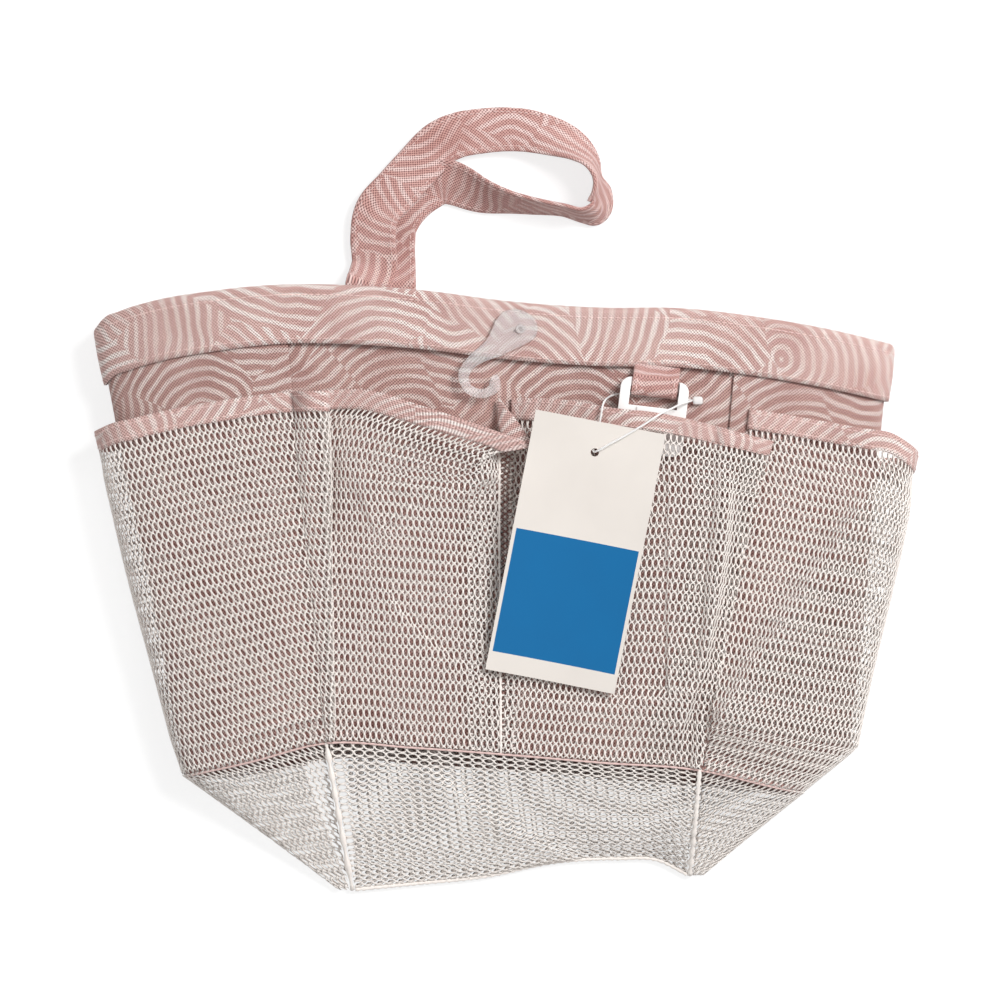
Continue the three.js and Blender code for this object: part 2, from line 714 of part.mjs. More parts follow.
// The socket half: a frame with a bar for the tab, a raised box and the cavity for the plug.
// Its own origin is the middle of the bar's top edge, at the tab's underside.
function buckleSocket() {
  const top = socketLift + socketThickness;
  const middle = socketLift + socketThickness / 2;
  const inner = socketWidth - 2 * socketRail;
  const body = toSolid(extruded(roundedShape(socketWidth, socketLength, socketCorner),
    socketThickness).translate(0, -socketLength / 2, socketLift));
  const box = block(raisedWidth, raisedLength, raisedHeight,
    0, -raisedDown, top + raisedHeight / 2 - raisedSink);
  const slot = block(inner, socketSlotLength, socketThickness + 2 * overrun,
    0, -barDepth - socketSlotLength / 2, middle);
  const barCut = (z) => block(inner, barDepth + 2 * overrun, socketThickness,
    0, overrun / 2 - barDepth / 2, z);
  const cavity = block(cavityWidth, cavityDepth + overrun, cavityHeight,
    0, (cavityDepth - overrun) / 2 - socketLength, middle);
  const windowDown = barDepth + socketSlotLength + windowInset + windowLength / 2;
  const windowAt = (x) => block(windowWidth, windowLength, socketThickness,
    x, -windowDown, top + raisedHeight + overrun - socketThickness / 2);
  const gate = (x) => block(socketRail * 2, gateLength, cavityHeight, x, -gateDown, middle);
  return toGeometry(body.add(box).subtract(slot).subtract(cavity)
    .subtract(barCut(barRise + barThickness + socketThickness / 2))
    .subtract(barCut(barRise - socketThickness / 2))
    .subtract(windowAt(-windowApart / 2)).subtract(windowAt(windowApart / 2))
    .subtract(gate(-socketWidth / 2)).subtract(gate(socketWidth / 2)));
}

// The plug half: a frame with a bar for the strap's tail and a tongue. Its own origin is the
// same as the socket's.
function bucklePlug() {
  const base = toSolid(extruded(roundedShape(socketWidth, plugBodyLength, socketCorner / 2),
    prongThickness).translate(0, -plugBodyLength / 2, barRise));
  const inner = socketWidth - 2 * socketRail;
  const slot = block(inner, plugSlotLength, prongThickness * 3,
    0, -barDepth - plugSlotLength / 2, barRise);
  const tongue = block(tongueWidth, prongLength, tongueThickness,
    0, -plugBodyLength - prongLength / 2 + overrun / 2, barRise + prongThickness / 2);
  return toGeometry(base.subtract(slot).add(tongue));
}

// A springy prong with a catch that stands out at its end
function plugProng(sign) {
  const shape = new THREE.Shape();
  shape.moveTo(-sign * prongWidth / 2, 0);
  shape.lineTo(-sign * prongWidth / 2, -prongLength);
  shape.lineTo(sign * prongWidth / 2, -prongLength);
  shape.lineTo(sign * (prongWidth / 2 + prongCatch), -prongLength + prongCatchLength);
  shape.lineTo(sign * prongWidth / 2, -prongLength + prongCatchLength);
  shape.lineTo(sign * prongWidth / 2, 0);
  return extruded(shape, prongThickness)
    .translate(sign * prongRootAt, -plugBodyLength - seamGap, barRise);
}

// The clear hook, flat on the band, with its pin through the plate
function clearHook() {
  const outline = hookOutlineShares.map(([x, y]) =>
    new THREE.Vector2(x * hookReach, y * hookReach));
  const shape = new THREE.Shape(outline);
  const hole = new THREE.Path();
  hole.absarc(0, 0, pinRadius + layerGap, 0, Math.PI * 2, false);
  shape.holes.push(hole);
  return extruded(shape, hookThickness, 6);
}

function hookPin() {
  const shaft = hookThickness + 2 * layerGap;
  return new THREE.LatheGeometry([
    new THREE.Vector2(0, 0), new THREE.Vector2(pinRadius, 0), new THREE.Vector2(pinRadius, shaft),
    new THREE.Vector2(pinHeadRadius, shaft), new THREE.Vector2(pinHeadFace, shaft + pinHeadHeight),
    new THREE.Vector2(0, shaft + pinHeadHeight),
  ], 12).rotateX(Math.PI / 2);
}

// The hang tag, made about its hole
function hangTag() {
  const card = roundedShape(tagWidth, tagLength, tagCorner);
  const hole = new THREE.Path();
  hole.absarc(0, tagLength / 2 - tagHoleDown, tagHoleRadius, 0, Math.PI * 2, true);
  card.holes.push(hole);
  return extruded(card, tagThickness, 4).translate(0, tagHoleDown - tagLength / 2, 0);
}

// The tag's thin clear loop: from its lock head over the binding, through the tag's hole, back
// over the binding and under the socket to the head again
function tagLoop() {
  const route = filamentRouteShares.map(([x, y, z]) =>
    point(x * bagWidth, y * bagLength, highZ + z * tagLift));
  const curve = new THREE.CatmullRomCurve3(route, false, 'centripetal');
  const section = new THREE.Shape();
  section.absarc(0, 0, filamentRadius, 0, Math.PI * 2);
  return new THREE.ExtrudeGeometry(section, {
    steps: 48, curveSegments: 4, bevelEnabled: false, extrudePath: curve,
  });
}

// Colours
const pinkPrint = '#b08f8a';
const pinkWall = '#a9857f';
const whiteNet = '#e2ddd8';
const whitePlastic = '#e9e6e3';
const clearPlastic = '#dcd9d6';
const paleCard = '#c9c4bb';
const rough = 0.9;
const smooth = 0.35;

const caddy = new THREE.Group();
const add = (geometry, name, colour, roughness, extra) => {
  const mesh = place(geometry, name, colour, roughness, extra);
  caddy.add(mesh);
  return mesh;
};

add(rimBand(), 'rim_band', pinkPrint, rough);
add(frontLining(), 'front_lining', pinkWall, rough);
add(backLining(), 'back_lining', pinkWall, rough);
add(frontBasin(), 'front_basin_net', whiteNet, rough);
add(backBasin(), 'back_basin_net', whiteNet, rough);
add(bottomNet(), 'bottom_net', whiteNet, rough);
for (const [side, mouth] of [['left', leftPocketMouthShare], ['right', rightPocketMouthShare]]) {
  const hem = mouth + bindingShare;
  add(sideLining(side), `${side}_lining`, pinkWall, rough);
  add(sideBasin(side), `${side}_basin_net`, whiteNet, rough);
  add(sidePocket(side, hem + gapShare, 1, 7, cloth), `${side}_pocket_net`, whiteNet, rough);
  add(sidePocket(side, mouth, hem, 2, bindingThickness), `${side}_pocket_binding`, pinkPrint, rough);
}
for (const [name, pocket] of [['front_left', frontLeftPocket], ['front_right', frontRightPocket]]) {
  const hem = bindingWidth / pocketLength;
  const netTop = hem + 2 * seamGap / pocketLength;
  add(frontPocket(pocket, netTop, 1, 11, cloth), `${name}_pocket_net`, whiteNet, rough);
  add(frontPocket(pocket, 0, hem, 2, bindingThickness), `${name}_pocket_binding`, pinkPrint, rough);
}

add(handleStrap(), 'handle_strap', pinkPrint, rough);
const rootX = onStrap(strapRouteShares[0][0]);
const tailX = onStrap(strapRouteShares[strapRouteShares.length - 1][0]);
const rootZ = lowZ + bandFace + layerGap;
const root = new THREE.BoxGeometry(strapWidth, rootLength, webThickness);
add(root, 'strap_root', pinkPrint, rough)
  .position.set(rootX, hingeY - hingeGap - rootLength / 2, rootZ + webThickness / 2);
const tailZ = rootZ + strapPitch;
const tailLead = tailLength - tabLength;
add(webLoop(tailLead, tailLength), 'strap_tail', pinkPrint, rough)
  .position.set(tailX, hingeY - hingeGap, tailZ);

const plug = new THREE.Group();
plug.position.set(tailX, hingeY - hingeGap - barAt(tailLead), tailZ);
plug.add(place(bucklePlug(), 'buckle_plug', whitePlastic, smooth));
plug.add(place(plugProng(-1), 'plug_prong_left', whitePlastic, smooth));
plug.add(place(plugProng(1), 'plug_prong_right', whitePlastic, smooth));
caddy.add(plug);

const tabX = tabAtShare * bagWidth;
const tabY = lineAt(mouthLineShares, tabAtShare) * bagLength - bandHeight + tabTuck;
const tabZ = frontFace + layerGap;
const tab = new THREE.Group();
tab.position.set(tabX, tabY, tabZ);
tab.rotation.z = radians(tabTurn);
tab.add(place(webLoop(tabLead, tabLength), 'buckle_tab', pinkPrint, rough));
const socket = place(buckleSocket(), 'buckle_socket', whitePlastic, smooth);
socket.position.y = -barAt(tabLead);
tab.add(socket);
caddy.add(tab);

const hookX = hookPinAtShares[0] * bagWidth;
const hookY = hookPinAtShares[1] * bagLength;
const bandTop = highZ + bandFace + layerGap;
const clear = { transparent: true, opacity: 0.6 };
add(clearHook(), 'hang_hook', clearPlastic, smooth, clear).position.set(hookX, hookY, bandTop);
add(hookPin(), 'hook_pin', clearPlastic, smooth, clear).position.set(hookX, hookY, bandTop);

const tag = add(hangTag(), 'hang_tag', paleCard, rough);
tag.rotation.set(radians(tagTilt), 0, radians(tagTurn), 'ZXY');
tag.position.set(tagHoleAtShares[0] * bagWidth, tagHoleAtShares[1] * bagLength, highZ + tagLift);

add(tagLoop(), 'tag_filament', clearPlastic, smooth, clear);
const head = new THREE.BoxGeometry(headAcross, headAlong, headHigh);
add(head, 'filament_head', clearPlastic, smooth, clear).position.set(
  headAtShares[0] * bagWidth, headAtShares[1] * bagLength, frontFace + layerGap + headHigh / 2);

// The origin is the middle of the part's base
caddy.updateMatrixWorld(true);
const bounds = new THREE.Box3().setFromObject(caddy, true);
const middle = bounds.getCenter(point(0, 0, 0));
caddy.position.set(-middle.x, -middle.y, -bounds.min.z);

export default caddy;
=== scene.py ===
# A mesh shower caddy lying on its back: printed cloth walls, open net pockets and basin, a cloth
# handle, a buckled tab, a clear hook and a hang tag. Metres, in the model's own frame.
import math
from collections import Counter
from contextlib import contextmanager

import bmesh
import bpy
import numpy as np
from mathutils import Matrix, Vector


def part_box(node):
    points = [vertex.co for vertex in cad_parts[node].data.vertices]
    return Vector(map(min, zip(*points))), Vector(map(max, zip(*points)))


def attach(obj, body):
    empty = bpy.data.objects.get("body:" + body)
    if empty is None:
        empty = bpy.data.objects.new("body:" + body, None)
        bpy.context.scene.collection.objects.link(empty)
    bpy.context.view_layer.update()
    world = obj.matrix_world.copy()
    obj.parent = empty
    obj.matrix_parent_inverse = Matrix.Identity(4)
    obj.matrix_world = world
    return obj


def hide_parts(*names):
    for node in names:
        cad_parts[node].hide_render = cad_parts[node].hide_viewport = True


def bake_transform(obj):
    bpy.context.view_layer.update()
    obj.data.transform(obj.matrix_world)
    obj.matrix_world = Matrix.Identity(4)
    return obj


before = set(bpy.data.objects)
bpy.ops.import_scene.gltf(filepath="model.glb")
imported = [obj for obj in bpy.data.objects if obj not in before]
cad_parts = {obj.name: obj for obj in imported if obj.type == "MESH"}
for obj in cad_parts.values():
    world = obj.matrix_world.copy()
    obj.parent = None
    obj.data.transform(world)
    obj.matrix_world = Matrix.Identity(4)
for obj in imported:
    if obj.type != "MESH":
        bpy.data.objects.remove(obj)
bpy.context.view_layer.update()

# The bag's sizes, as in the model
BAG_WIDTH = 0.308
BAG_LENGTH = 0.236
BAG_RISE = 0.0254
CLOTH = 0.001
LAYER_GAP = 0.0004
CORNER_LAP = 0.004
BAND_HEIGHT = 0.0234
BINDING_WIDTH = 0.008
BINDING_THICKNESS = 0.0012
BACK_DROP = 0.008
EDGE_RISE = 0.007
SAG_RUN = 0.012
SAG_DEPTH = 0.003
BASIN_GAP = 0.0003
BASIN_BULGE = 0.004
LEFT_FLARE = 0.008
RIGHT_FLARE = 0.014
FRONT_SWELL = 0.0015
SIDE_SWELL = 0.003
LOBE_LIFT = 0.011
MOUTH_LIFT = 0.014
EDGE_STEP = 0.0031
EDGE_RUN = 0.003
WALL_OFFSET = (CLOTH + LAYER_GAP) / 2
POCKET_OFFSET = WALL_OFFSET + CLOTH / 2 + LAYER_GAP + BINDING_THICKNESS / 2
BAND_FACE = WALL_OFFSET * 3 + CLOTH / 2
LOW_Z = POCKET_OFFSET + BINDING_THICKNESS / 2
HIGH_Z = LOW_Z + BAG_RISE
WALL_LENGTH = BAG_LENGTH * 0.765
HEM_SHARE = (BAND_FACE + LAYER_GAP) / WALL_LENGTH
TUCK_OFFSET = WALL_OFFSET + 2 * CLOTH + 3 * LAYER_GAP

# The strap's, tab's and card's sizes
STRAP_WIDTH = 0.018
STRAP_THICKNESS = 0.0015
LOOP_ACROSS = 0.102
LOOP_REACH = 0.069
STRAP_PITCH = 0.0024
WEB_THICKNESS = 0.0012
ROOT_LENGTH = 0.020
HINGE_OUT = 0.0012
HINGE_GAP = 0.0011
TAG_WIDTH = 0.051
TAG_LENGTH = 0.103
TAG_HOLE_DOWN = 0.012
TAG_HOLE_RADIUS = 0.0016
CARD_CLEARANCE = 0.0022
CARD_BLOCK = (-0.0835, -0.0345, 0.0241)
HOOK_REACH = 0.031
HOOK_THICKNESS = 0.0022
HOOK_HOLE = 0.0013
TAG_LIFT = 0.0158
FILAMENT_RADIUS = 0.0004

# The net's sizes: one oval hole in each cell and a small diamond hole at each cell's corner
CELL_WIDTH = 0.00228
CELL_LENGTH = 0.0042
OVAL_WIDTH = 0.00144
OVAL_LENGTH = 0.0032
DIAMOND_WIDTH = 0.00092
DIAMOND_LENGTH = 0.0015
THREAD_HEIGHT = 0.00034
FLOOR_CLEARANCE = 0.0005
NET_SOLID_SHARE = 0.62
COARSE_SOLID_SHARE = 0.5
FOLDED_SOLID_SHARE = 0.6
FOLDED_OPENING = 0.72
NET_LEANS = {"left": 0.3, "right": 0.1, "front": 0.02, "basin": 0.06}

# The cloth's seen thickness and weave, and how high its slow waves and puffs stand
CLOTH_SEEN = 0.0007
WEAVE_PITCH = 0.00125
ARC_PATCH = 0.036
ARC_PITCH = 0.0042
WALL_WAVE = 0.0007
SIDE_WALL_WAVE = 0.0011
BAND_PUFF = 0.0005
BAND_WAVE = 0.00055
POCKET_PUFF = 0.0022
HEM_WAVE = 0.0004
BASIN_WAVE = 0.0014

# Stitches as pitch and length, how far from an edge they run, and seam cords
LONG_STITCH = (0.0026, 0.0019)
SHORT_STITCH = (0.0024, 0.0017)
STITCH_RADIUS = 0.00022
HANDLE_STITCH_RADIUS = 0.0002
TAB_STITCH_RADIUS = 0.00026
STITCH_SINK = 0.00008
BAND_STITCHES = (("band_stitches_top", 0.0042), ("band_stitches_low", BAND_HEIGHT - 0.0021))
BINDING_STITCHES = (("_stitches_top", 0.0016), ("_stitches_low", BINDING_WIDTH - 0.0015))
HANDLE_STITCH_INSET = 0.002
TAB_STITCH_INSET = 0.0018
FOOT_SEAMS = (("front", 0.0013), ("left", 0.001), ("right", 0.001))
SEAM_RADIUS = 0.0004
SELVAGE_RADIUS = 0.0005
BOTTOM_SEAM_RADIUS = 0.0008
BASIN_RIDGE_RADIUS = 0.00095
CORD_TWIST_PITCH = 0.0028

# The card's thickness and curl, and where the room for its swing ends: from its hole outwards and
# to its right
CARD_THICKNESS = 0.0005
CARD_CUP = 0.0012
CARD_CURL = 0.0008
CARD_REACH = (0.096, 0.106)
CARD_SIDE = (0.028, 0.036)

# The moulded pieces' rounded edges, and how near points are to count as one
HOOK_BEVEL = 0.0005
WELD = 1e-6

# Shares of BAG_WIDTH across and BAG_LENGTH along, as in the model
MOUTH_LINE = (
    (-0.52, 0.286), (-0.513, 0.299), (-0.492, 0.312), (-0.454, 0.327), (-0.372, 0.345),
    (-0.302, 0.354), (-0.201, 0.354), (-0.099, 0.344), (-0.011, 0.329), (0.116, 0.317),
    (0.217, 0.316), (0.318, 0.301), (0.407, 0.281), (0.481, 0.259),
)
SEAM_LINE = (
    (-0.407, -0.454), (-0.327, -0.43), (-0.229, -0.398), (-0.125, -0.405), (-0.011, -0.416),
    (0.116, -0.43), (0.242, -0.443), (0.344, -0.474), (0.432, -0.501),
)
BOTTOM_LINE = (
    (-0.198, -0.649), (-0.112, -0.638), (-0.036, -0.628), (0.065, -0.602), (0.141, -0.597),
    (0.192, -0.6), (0.23, -0.625),
)
REAR_FOLD = ((-0.213, -0.27), (0.223, -0.27))
CORNERS = {
    "back_left": (-0.381, -0.258),
    "left_nose": (-0.52, -0.407),
    "front_left": (-0.286, -0.229),
    "front_right": (0.291, 0.24),
    "right_nose": (0.481, 0.369),
    "back_right": (0.244, 0.211),
}
FRONT_CORNERS = ("front_left", "front_right")
BACK_CORNERS = ("back_left", "back_right")
RIGHT_KINK = (0.9, 0.43)
NOSE_HEIGHT = 0.42
NOSE = 0.42
NOSE_BLUNT = 0.8
FRONT_LEFT_MOUTH = (
    (-0.236, 0.18, 0), (-0.175, 0.18, 0.3), (-0.099, 0.15, 0.7), (-0.023, 0.116, 1),
    (0.015, 0.098, 1), (0.031, 0.086, 0.95), (0.017, 0.119, 0.6), (-0.001, 0.149, 0.25),
    (-0.012, 0.167, 0),
)
FRONT_RIGHT_MOUTH = (
    (0.004, 0.167, 0), (0.04, 0.167, 0.35), (0.084, 0.162, 0.65), (0.122, 0.152, 0.9),
    (0.179, 0.144, 1), (0.23, 0.131, 0.95), (0.28, 0.114, 0.55), (0.333, 0.097, 0.05),
)
FRONT_LEFT = (FRONT_LEFT_MOUTH, (-0.222, -0.009), LOBE_LIFT)
FRONT_RIGHT = (FRONT_RIGHT_MOUTH, (-0.007, 0.243), MOUTH_LIFT)
LEFT_POCKET_CORNER = (-0.234, -0.222)
RIGHT_POCKET_START = (0.045, 0.014)
LEFT_POCKET_MOUTH = 0.235
RIGHT_POCKET_MOUTH = 0.255
FRONT_POCKET_MOUTH = 0.225
POCKET_LENGTH = WALL_LENGTH * (1 - FRONT_POCKET_MOUTH)
LOBE_FADE = 0.35
FLARE_FADE = 1.5
LIFT_FADE = 1.3
STRAP_RISE = 0.14

# The left pocket's folded front edge stands proud of its neighbour, most at the mouth
RIDGE_AT_MOUTH = 0.0062
RIDGE_AT_SEAM = 0.0016
RIDGE_FADE = 0.75
# Folds that stand in the nets: their lines as shares across and along, how high each stands, and
# how far it runs out on its left and on its right
HOLLOW_DEPTH = 0.003
LOBE_FOLD = (((-0.17, -0.05), (-0.137, -0.02), (-0.087, 0.012), (-0.036, 0.036), (0.0, 0.045)),
             0.006, 0.015, 0.0032)
LEFT_LOW_FOLD = (((-0.222, -0.03), (-0.226, -0.17), (-0.215, -0.37)), 0.0022, 0.002, 0.008)
RIGHT_FRONT_FOLD = (((0.275, 0.075), (0.27, -0.06), (0.258, -0.18), (0.24, -0.29), (0.216, -0.37),
                     (0.212, -0.43)), 0.0055, 0.0015, 0.011)
RIGHT_FOLD = (((0.47, 0.06), (0.446, -0.005), (0.369, -0.149), (0.275, -0.332), (0.245, -0.42)),
              0.0105, 0.025, 0.0045)
BASIN_FOLD = (((-0.12, -0.43), (-0.05, -0.5), (0.02, -0.56), (0.1, -0.605)),
              0.0034, 0.0018, 0.014)
FOLD_ENDS = 0.16
FOLD_TIP = 0.0006
# The second layers of net: how far they reach and lie below the first, and their grids' columns
DIVIDER_REACH = 0.006
DIVIDER_GAP = 0.0004
DIVIDER_RISE = 0.09
FRONT_DOUBLED = 0.012
DOUBLED_GAP = 0.0009
DOUBLED_LEAST = 5
RIGHT_NOSE_COLUMN = 52
POCKET_FLARE = (0.33, 0.46, 0.85)
RIGHT_MOUTH_RISE = 0.052
STRAP_ROUTE = (
    (0.16, 0, 0, 0), (0.158, 0.1, 0, 0), (0.156, 0.216, 0, 0), (0.165, 0.34, 0, 0),
    (0.21, 0.45, 0, 0), (0.28, 0.54, 4, 0), (0.365, 0.585, 16, 0), (0.499, 0.507, 45, 0),
    (0.6, 0.468, 64, 0), (0.7, 0.442, 74, 0), (0.809, 0.42, 80, 0), (0.888, 0.392, 76, 0),
    (0.945, 0.42, 58, 0), (0.958, 0.5, 60, 0), (0.945, 0.61, 80, 0), (0.905, 0.72, 62, 0),
    (0.82, 0.81, 38, 0), (0.7, 0.868, 20, 0), (0.59, 0.883, 12, 0.2), (0.477, 0.869, 6, 0.6),
    (0.4, 0.845, 3, 1), (0.33, 0.79, 0, 1.4), (0.25, 0.665, 0, 1.8), (0.17, 0.535, 0, 2),
    (0.1, 0.415, 4, 1.9), (0.082, 0.27, 8, 1.4), (0.0885, 0.13, 6, 1), (0.075, 0.04, 0, 1),
    (0.065, 0, 0, 1),
)
STRAP_LEFT = -0.2
PIN_AT = (0.015, 0.281)
TAG_HOLE_AT = (0.108, 0.078)
TAG_TURN = math.radians(-11)
TAG_TILT = math.radians(7)
TAB_X = 0.188
TAB_TUCK = 0.00175
TAB_LEAD = 0.0036
TAB_TURN = math.radians(-7)

# The hook's outline as shares of its reach, from its pin
HOOK_OUTLINE = (
    (-0.415, -0.126), (-0.314, 0.1), (-0.189, 0.226), (0, 0.239), (0.151, 0.151),
    (0.214, 0.025), (0.164, -0.126), (-0.063, -0.25), (-0.25, -0.34), (-0.43, -0.4),
    (-0.553, -0.465), (-0.63, -0.553), (-0.645, -0.64), (-0.604, -0.712), (-0.503, -0.75),
    (-0.41, -0.725), (-0.377, -0.63), (-0.34, -0.58), (-0.277, -0.59), (-0.25, -0.68),
    (-0.277, -0.78), (-0.377, -0.843), (-0.503, -0.868), (-0.654, -0.818), (-0.742, -0.717),
    (-0.78, -0.59), (-0.742, -0.465), (-0.63, -0.327),
)

# The clear loop's route, point for point as in the model: shares across and along, and the height
# above the front as a share of TAG_LIFT
FILAMENT_ROUTE = (
    (0.231, 0.164, 0.13), (0.231, 0.164, 0.27), (0.23, 0.163, 0.43), (0.226, 0.161, 0.58),
    (0.216, 0.157, 0.76), (0.205, 0.15, 0.94), (0.192, 0.142, 1.08), (0.169, 0.123, 1.19),
    (0.143, 0.103, 1.21), (0.123, 0.089, 1.2), (0.114, 0.082, 1.16), (0.108, 0.079, 1.09),
    (0.106, 0.08, 1.01), (0.106, 0.085, 0.94), (0.107, 0.094, 0.91), (0.112, 0.114, 0.92),
    (0.116, 0.14, 0.94), (0.118, 0.155, 0.93), (0.121, 0.163, 0.78), (0.125, 0.168, 0.49),
    (0.131, 0.172, 0.19), (0.141, 0.175, 0.04), (0.156, 0.175, 0.04), (0.175, 0.172, 0.04),
    (0.201, 0.169, 0.04), (0.221, 0.166, 0.04), (0.231, 0.164, 0.05),
)

# Where the bag's own coordinates start in the model's frame, read from the hook's pin
pin_low, pin_high = (Vector(corner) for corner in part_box("hook_pin"))
FRAME_START = np.array([
    (pin_low.x + pin_high.x) / 2 - PIN_AT[0] * BAG_WIDTH,
    (pin_low.y + pin_high.y) / 2 - PIN_AT[1] * BAG_LENGTH,
    pin_low.z - (HIGH_Z + BAND_FACE + LAYER_GAP),
])


def mix(a, b, t):
    return a + (b - a) * t


def ramp(x, low, high):
    return np.clip((x - low) / (high - low), 0, 1)


def smoothstep(x, low, high):
    t = ramp(x, low, high)
    return t * t * (3 - 2 * t)


def steps(count, low=0.0, high=1.0):
    return np.linspace(low, high, count + 1)


def hermite(b, d, slope0, slope1, f):
    return (b * (2 * f**3 - 3 * f**2 + 1) + slope0 * (f**3 - 2 * f**2 + f)
            + d * (3 * f**2 - 2 * f**3) + slope1 * (f**3 - f**2))


def line_at(table, x):
    """A smooth line through a table's points, straight on past its ends."""
    xs, ys = np.array(table).T
    slopes = np.gradient(ys, xs)
    inside = np.clip(x, xs[0], xs[-1])
    i = np.clip(np.searchsorted(xs, inside) - 1, 0, len(xs) - 2)
    run = xs[i + 1] - xs[i]
    y = hermite(ys[i], ys[i + 1], slopes[i] * run, slopes[i + 1] * run, (inside - xs[i]) / run)
    return y + np.where(x < xs[0], slopes[0], slopes[-1]) * (x - inside)


def row_at(table, t):
    """A smooth curve through a table's rows, each column by itself."""
    rows = np.array(table, dtype=float)
    place = np.clip(np.asarray(t, dtype=float), 0, 1) * (len(rows) - 1)
    i = np.clip(np.floor(place).astype(int), 0, len(rows) - 2)
    f = (place - i)[..., None]
    last = len(rows) - 1
    before, after = rows[np.clip(i - 1, 0, last)], rows[np.clip(i + 2, 0, last)]
    return hermite(rows[i], rows[i + 1], (rows[i + 1] - before) / 2, (after - rows[i]) / 2, f)


def fold_at(name, v):
    at_mouth, at_seam = CORNERS[name]
    if name != "right_nose":
        return mix(at_mouth, at_seam, v)
    kink, share = RIGHT_KINK
    return np.where(v < kink, mix(at_mouth, share, v / kink),
                    mix(share, at_seam, (v - kink) / (1 - kink)))


def section_at(side, s, v):
    """The tube's section: across as a share, height, and how much of the back's drop it takes."""
    if side == "front":
        return mix(fold_at("front_left", v), fold_at("front_right", v), s), HIGH_Z + 0 * s, 0 * s
    if side == "back":
        return mix(fold_at("back_right", v), fold_at("back_left", v), s), LOW_Z + 0 * s, 1 + 0 * s
    along = s if side == "left" else 1 - s
    nose_z = LOW_Z + BAG_RISE * NOSE_HEIGHT
    is_low = along < NOSE
    share = np.where(is_low, along / NOSE, (1 - along) / (1 - NOSE))
    angle = share * math.pi / 2
    height = np.maximum(np.cos(angle), 0) ** NOSE_BLUNT
    end = np.where(is_low, fold_at("back_" + side, v), fold_at("front_" + side, v))
    x = mix(end, fold_at(side + "_nose", v), np.sin(angle))
    z = nose_z + (np.where(is_low, LOW_Z, HIGH_Z) - nose_z) * height
    return x, z, np.where(is_low, 1 - share, 0)


def tube_at(side, s, v, offset):
    """Points of the bag's tube of walls, moved outwards, in the model's frame."""
    s, v, offset = np.broadcast_arrays(np.asarray(s, float), np.asarray(v, float),
                                       np.asarray(offset, float))
    nudge = 1e-3
    x, z, rear = section_at(side, s, v)
    xa, za, _ = section_at(side, s - nudge, v)
    xb, zb, _ = section_at(side, s + nudge, v)
    out_x, out_z = za - zb, (xb - xa) * BAG_WIDTH
    size = np.hypot(out_x, out_z)
    mouth = line_at(MOUTH_LINE, section_at(side, s, 0 * v)[0])
    seam = line_at(SEAM_LINE, section_at(side, s, 0 * v + 1)[0])
    place = np.stack([x * BAG_WIDTH + out_x / size * offset,
                      mix(mouth, seam, v) * BAG_LENGTH - BACK_DROP * rear * v,
                      z + out_z / size * offset], axis=-1)
    return place + FRAME_START


def bag_point(x, y, z):
    return np.array([x * BAG_WIDTH, y * BAG_LENGTH, z]) + FRAME_START


# Slow, shallow waves for cloth that has lain folded
WAVES = (
    (31.0, 12.0, 0.4, 0.32), (-17.0, 44.0, 1.9, 0.26), (58.0, -35.0, 2.7, 0.16),
    (83.0, 61.0, 0.8, 0.1), (-96.0, 71.0, 4.1, 0.09), (141.0, 22.0, 5.2, 0.07),
)


def wave_at(points, turn=0.0):
    """A value between -1 and 1 that changes slowly over the bag."""
    x, y = points[..., 0], points[..., 1]
    return sum(share * np.sin(a * x + b * y + phase + turn) for a, b, phase, share in WAVES)


def normals_of(grid):
    along_row = np.gradient(grid, axis=1)
    along_column = np.gradient(grid, axis=0)
    normal = np.cross(along_row, along_column)
    size = np.linalg.norm(normal, axis=-1, keepdims=True)
    return normal / np.maximum(size, 1e-12)


def faces_away(grid, towards):
    middle = normals_of(grid)[grid.shape[0] // 2, grid.shape[1] // 2]
    return np.dot(middle, towards) <= 0


def outward(grid, towards):
    """The grid's normals, turned so that they point away from the bag's inside."""
    normal = normals_of(grid)
    return -normal if faces_away(grid, towards) else normal


def cumulative(points, axis):
    step = np.linalg.norm(np.diff(points, axis=axis), axis=-1)
    zero = np.zeros_like(np.take(step, [0], axis=axis))
    return np.concatenate([zero, np.cumsum(step, axis=axis)], axis=axis)


def flat_of(grid):
    """Where each point of a grid lies on the flat cloth, in metres."""
    across = cumulative(grid, 1)
    across = across - across[:, -1:] / 2
    down = np.median(cumulative(grid, 0), axis=1)
    return np.stack([across, np.broadcast_to(-down[:, None], across.shape)], axis=-1)


def placed(name, data):
    """A new object in the scene."""
    piece = bpy.data.objects.new(name, data)
    bpy.context.scene.collection.objects.link(piece)
    return piece


@contextmanager
def edited(mesh):
    """Opens a mesh for editing and writes it back."""
    form = bmesh.new()
    form.from_mesh(mesh)
    yield form
    form.to_mesh(mesh)
    form.free()


def smooth(mesh):
    mesh.polygons.foreach_set("use_smooth", np.ones(len(mesh.polygons), dtype=bool))


def make_mesh(name, points, faces, flat, material, by_corner=False):
    """A smooth piece with a flat map, given for each point or for each face's corner."""
    mesh = bpy.data.meshes.new(name)
    mesh.from_pydata(points.reshape(-1, 3).tolist(), [], faces)
    smooth(mesh)
    if not by_corner:
        corner = np.empty(len(mesh.loops), dtype=np.int32)
        mesh.loops.foreach_get("vertex_index", corner)
        flat = flat[corner]
    mesh.uv_layers.new(name="flat").data.foreach_set("uv", flat.ravel())
    mesh.update()
    mesh.materials.append(material)
    return placed(name, mesh)


def make_outward(mesh):
    """Turns the faces of a closed mesh so that they point outwards."""
    with edited(mesh) as form:
        if form.calc_volume(signed=True) < 0:
            bmesh.ops.reverse_faces(form, faces=form.faces)


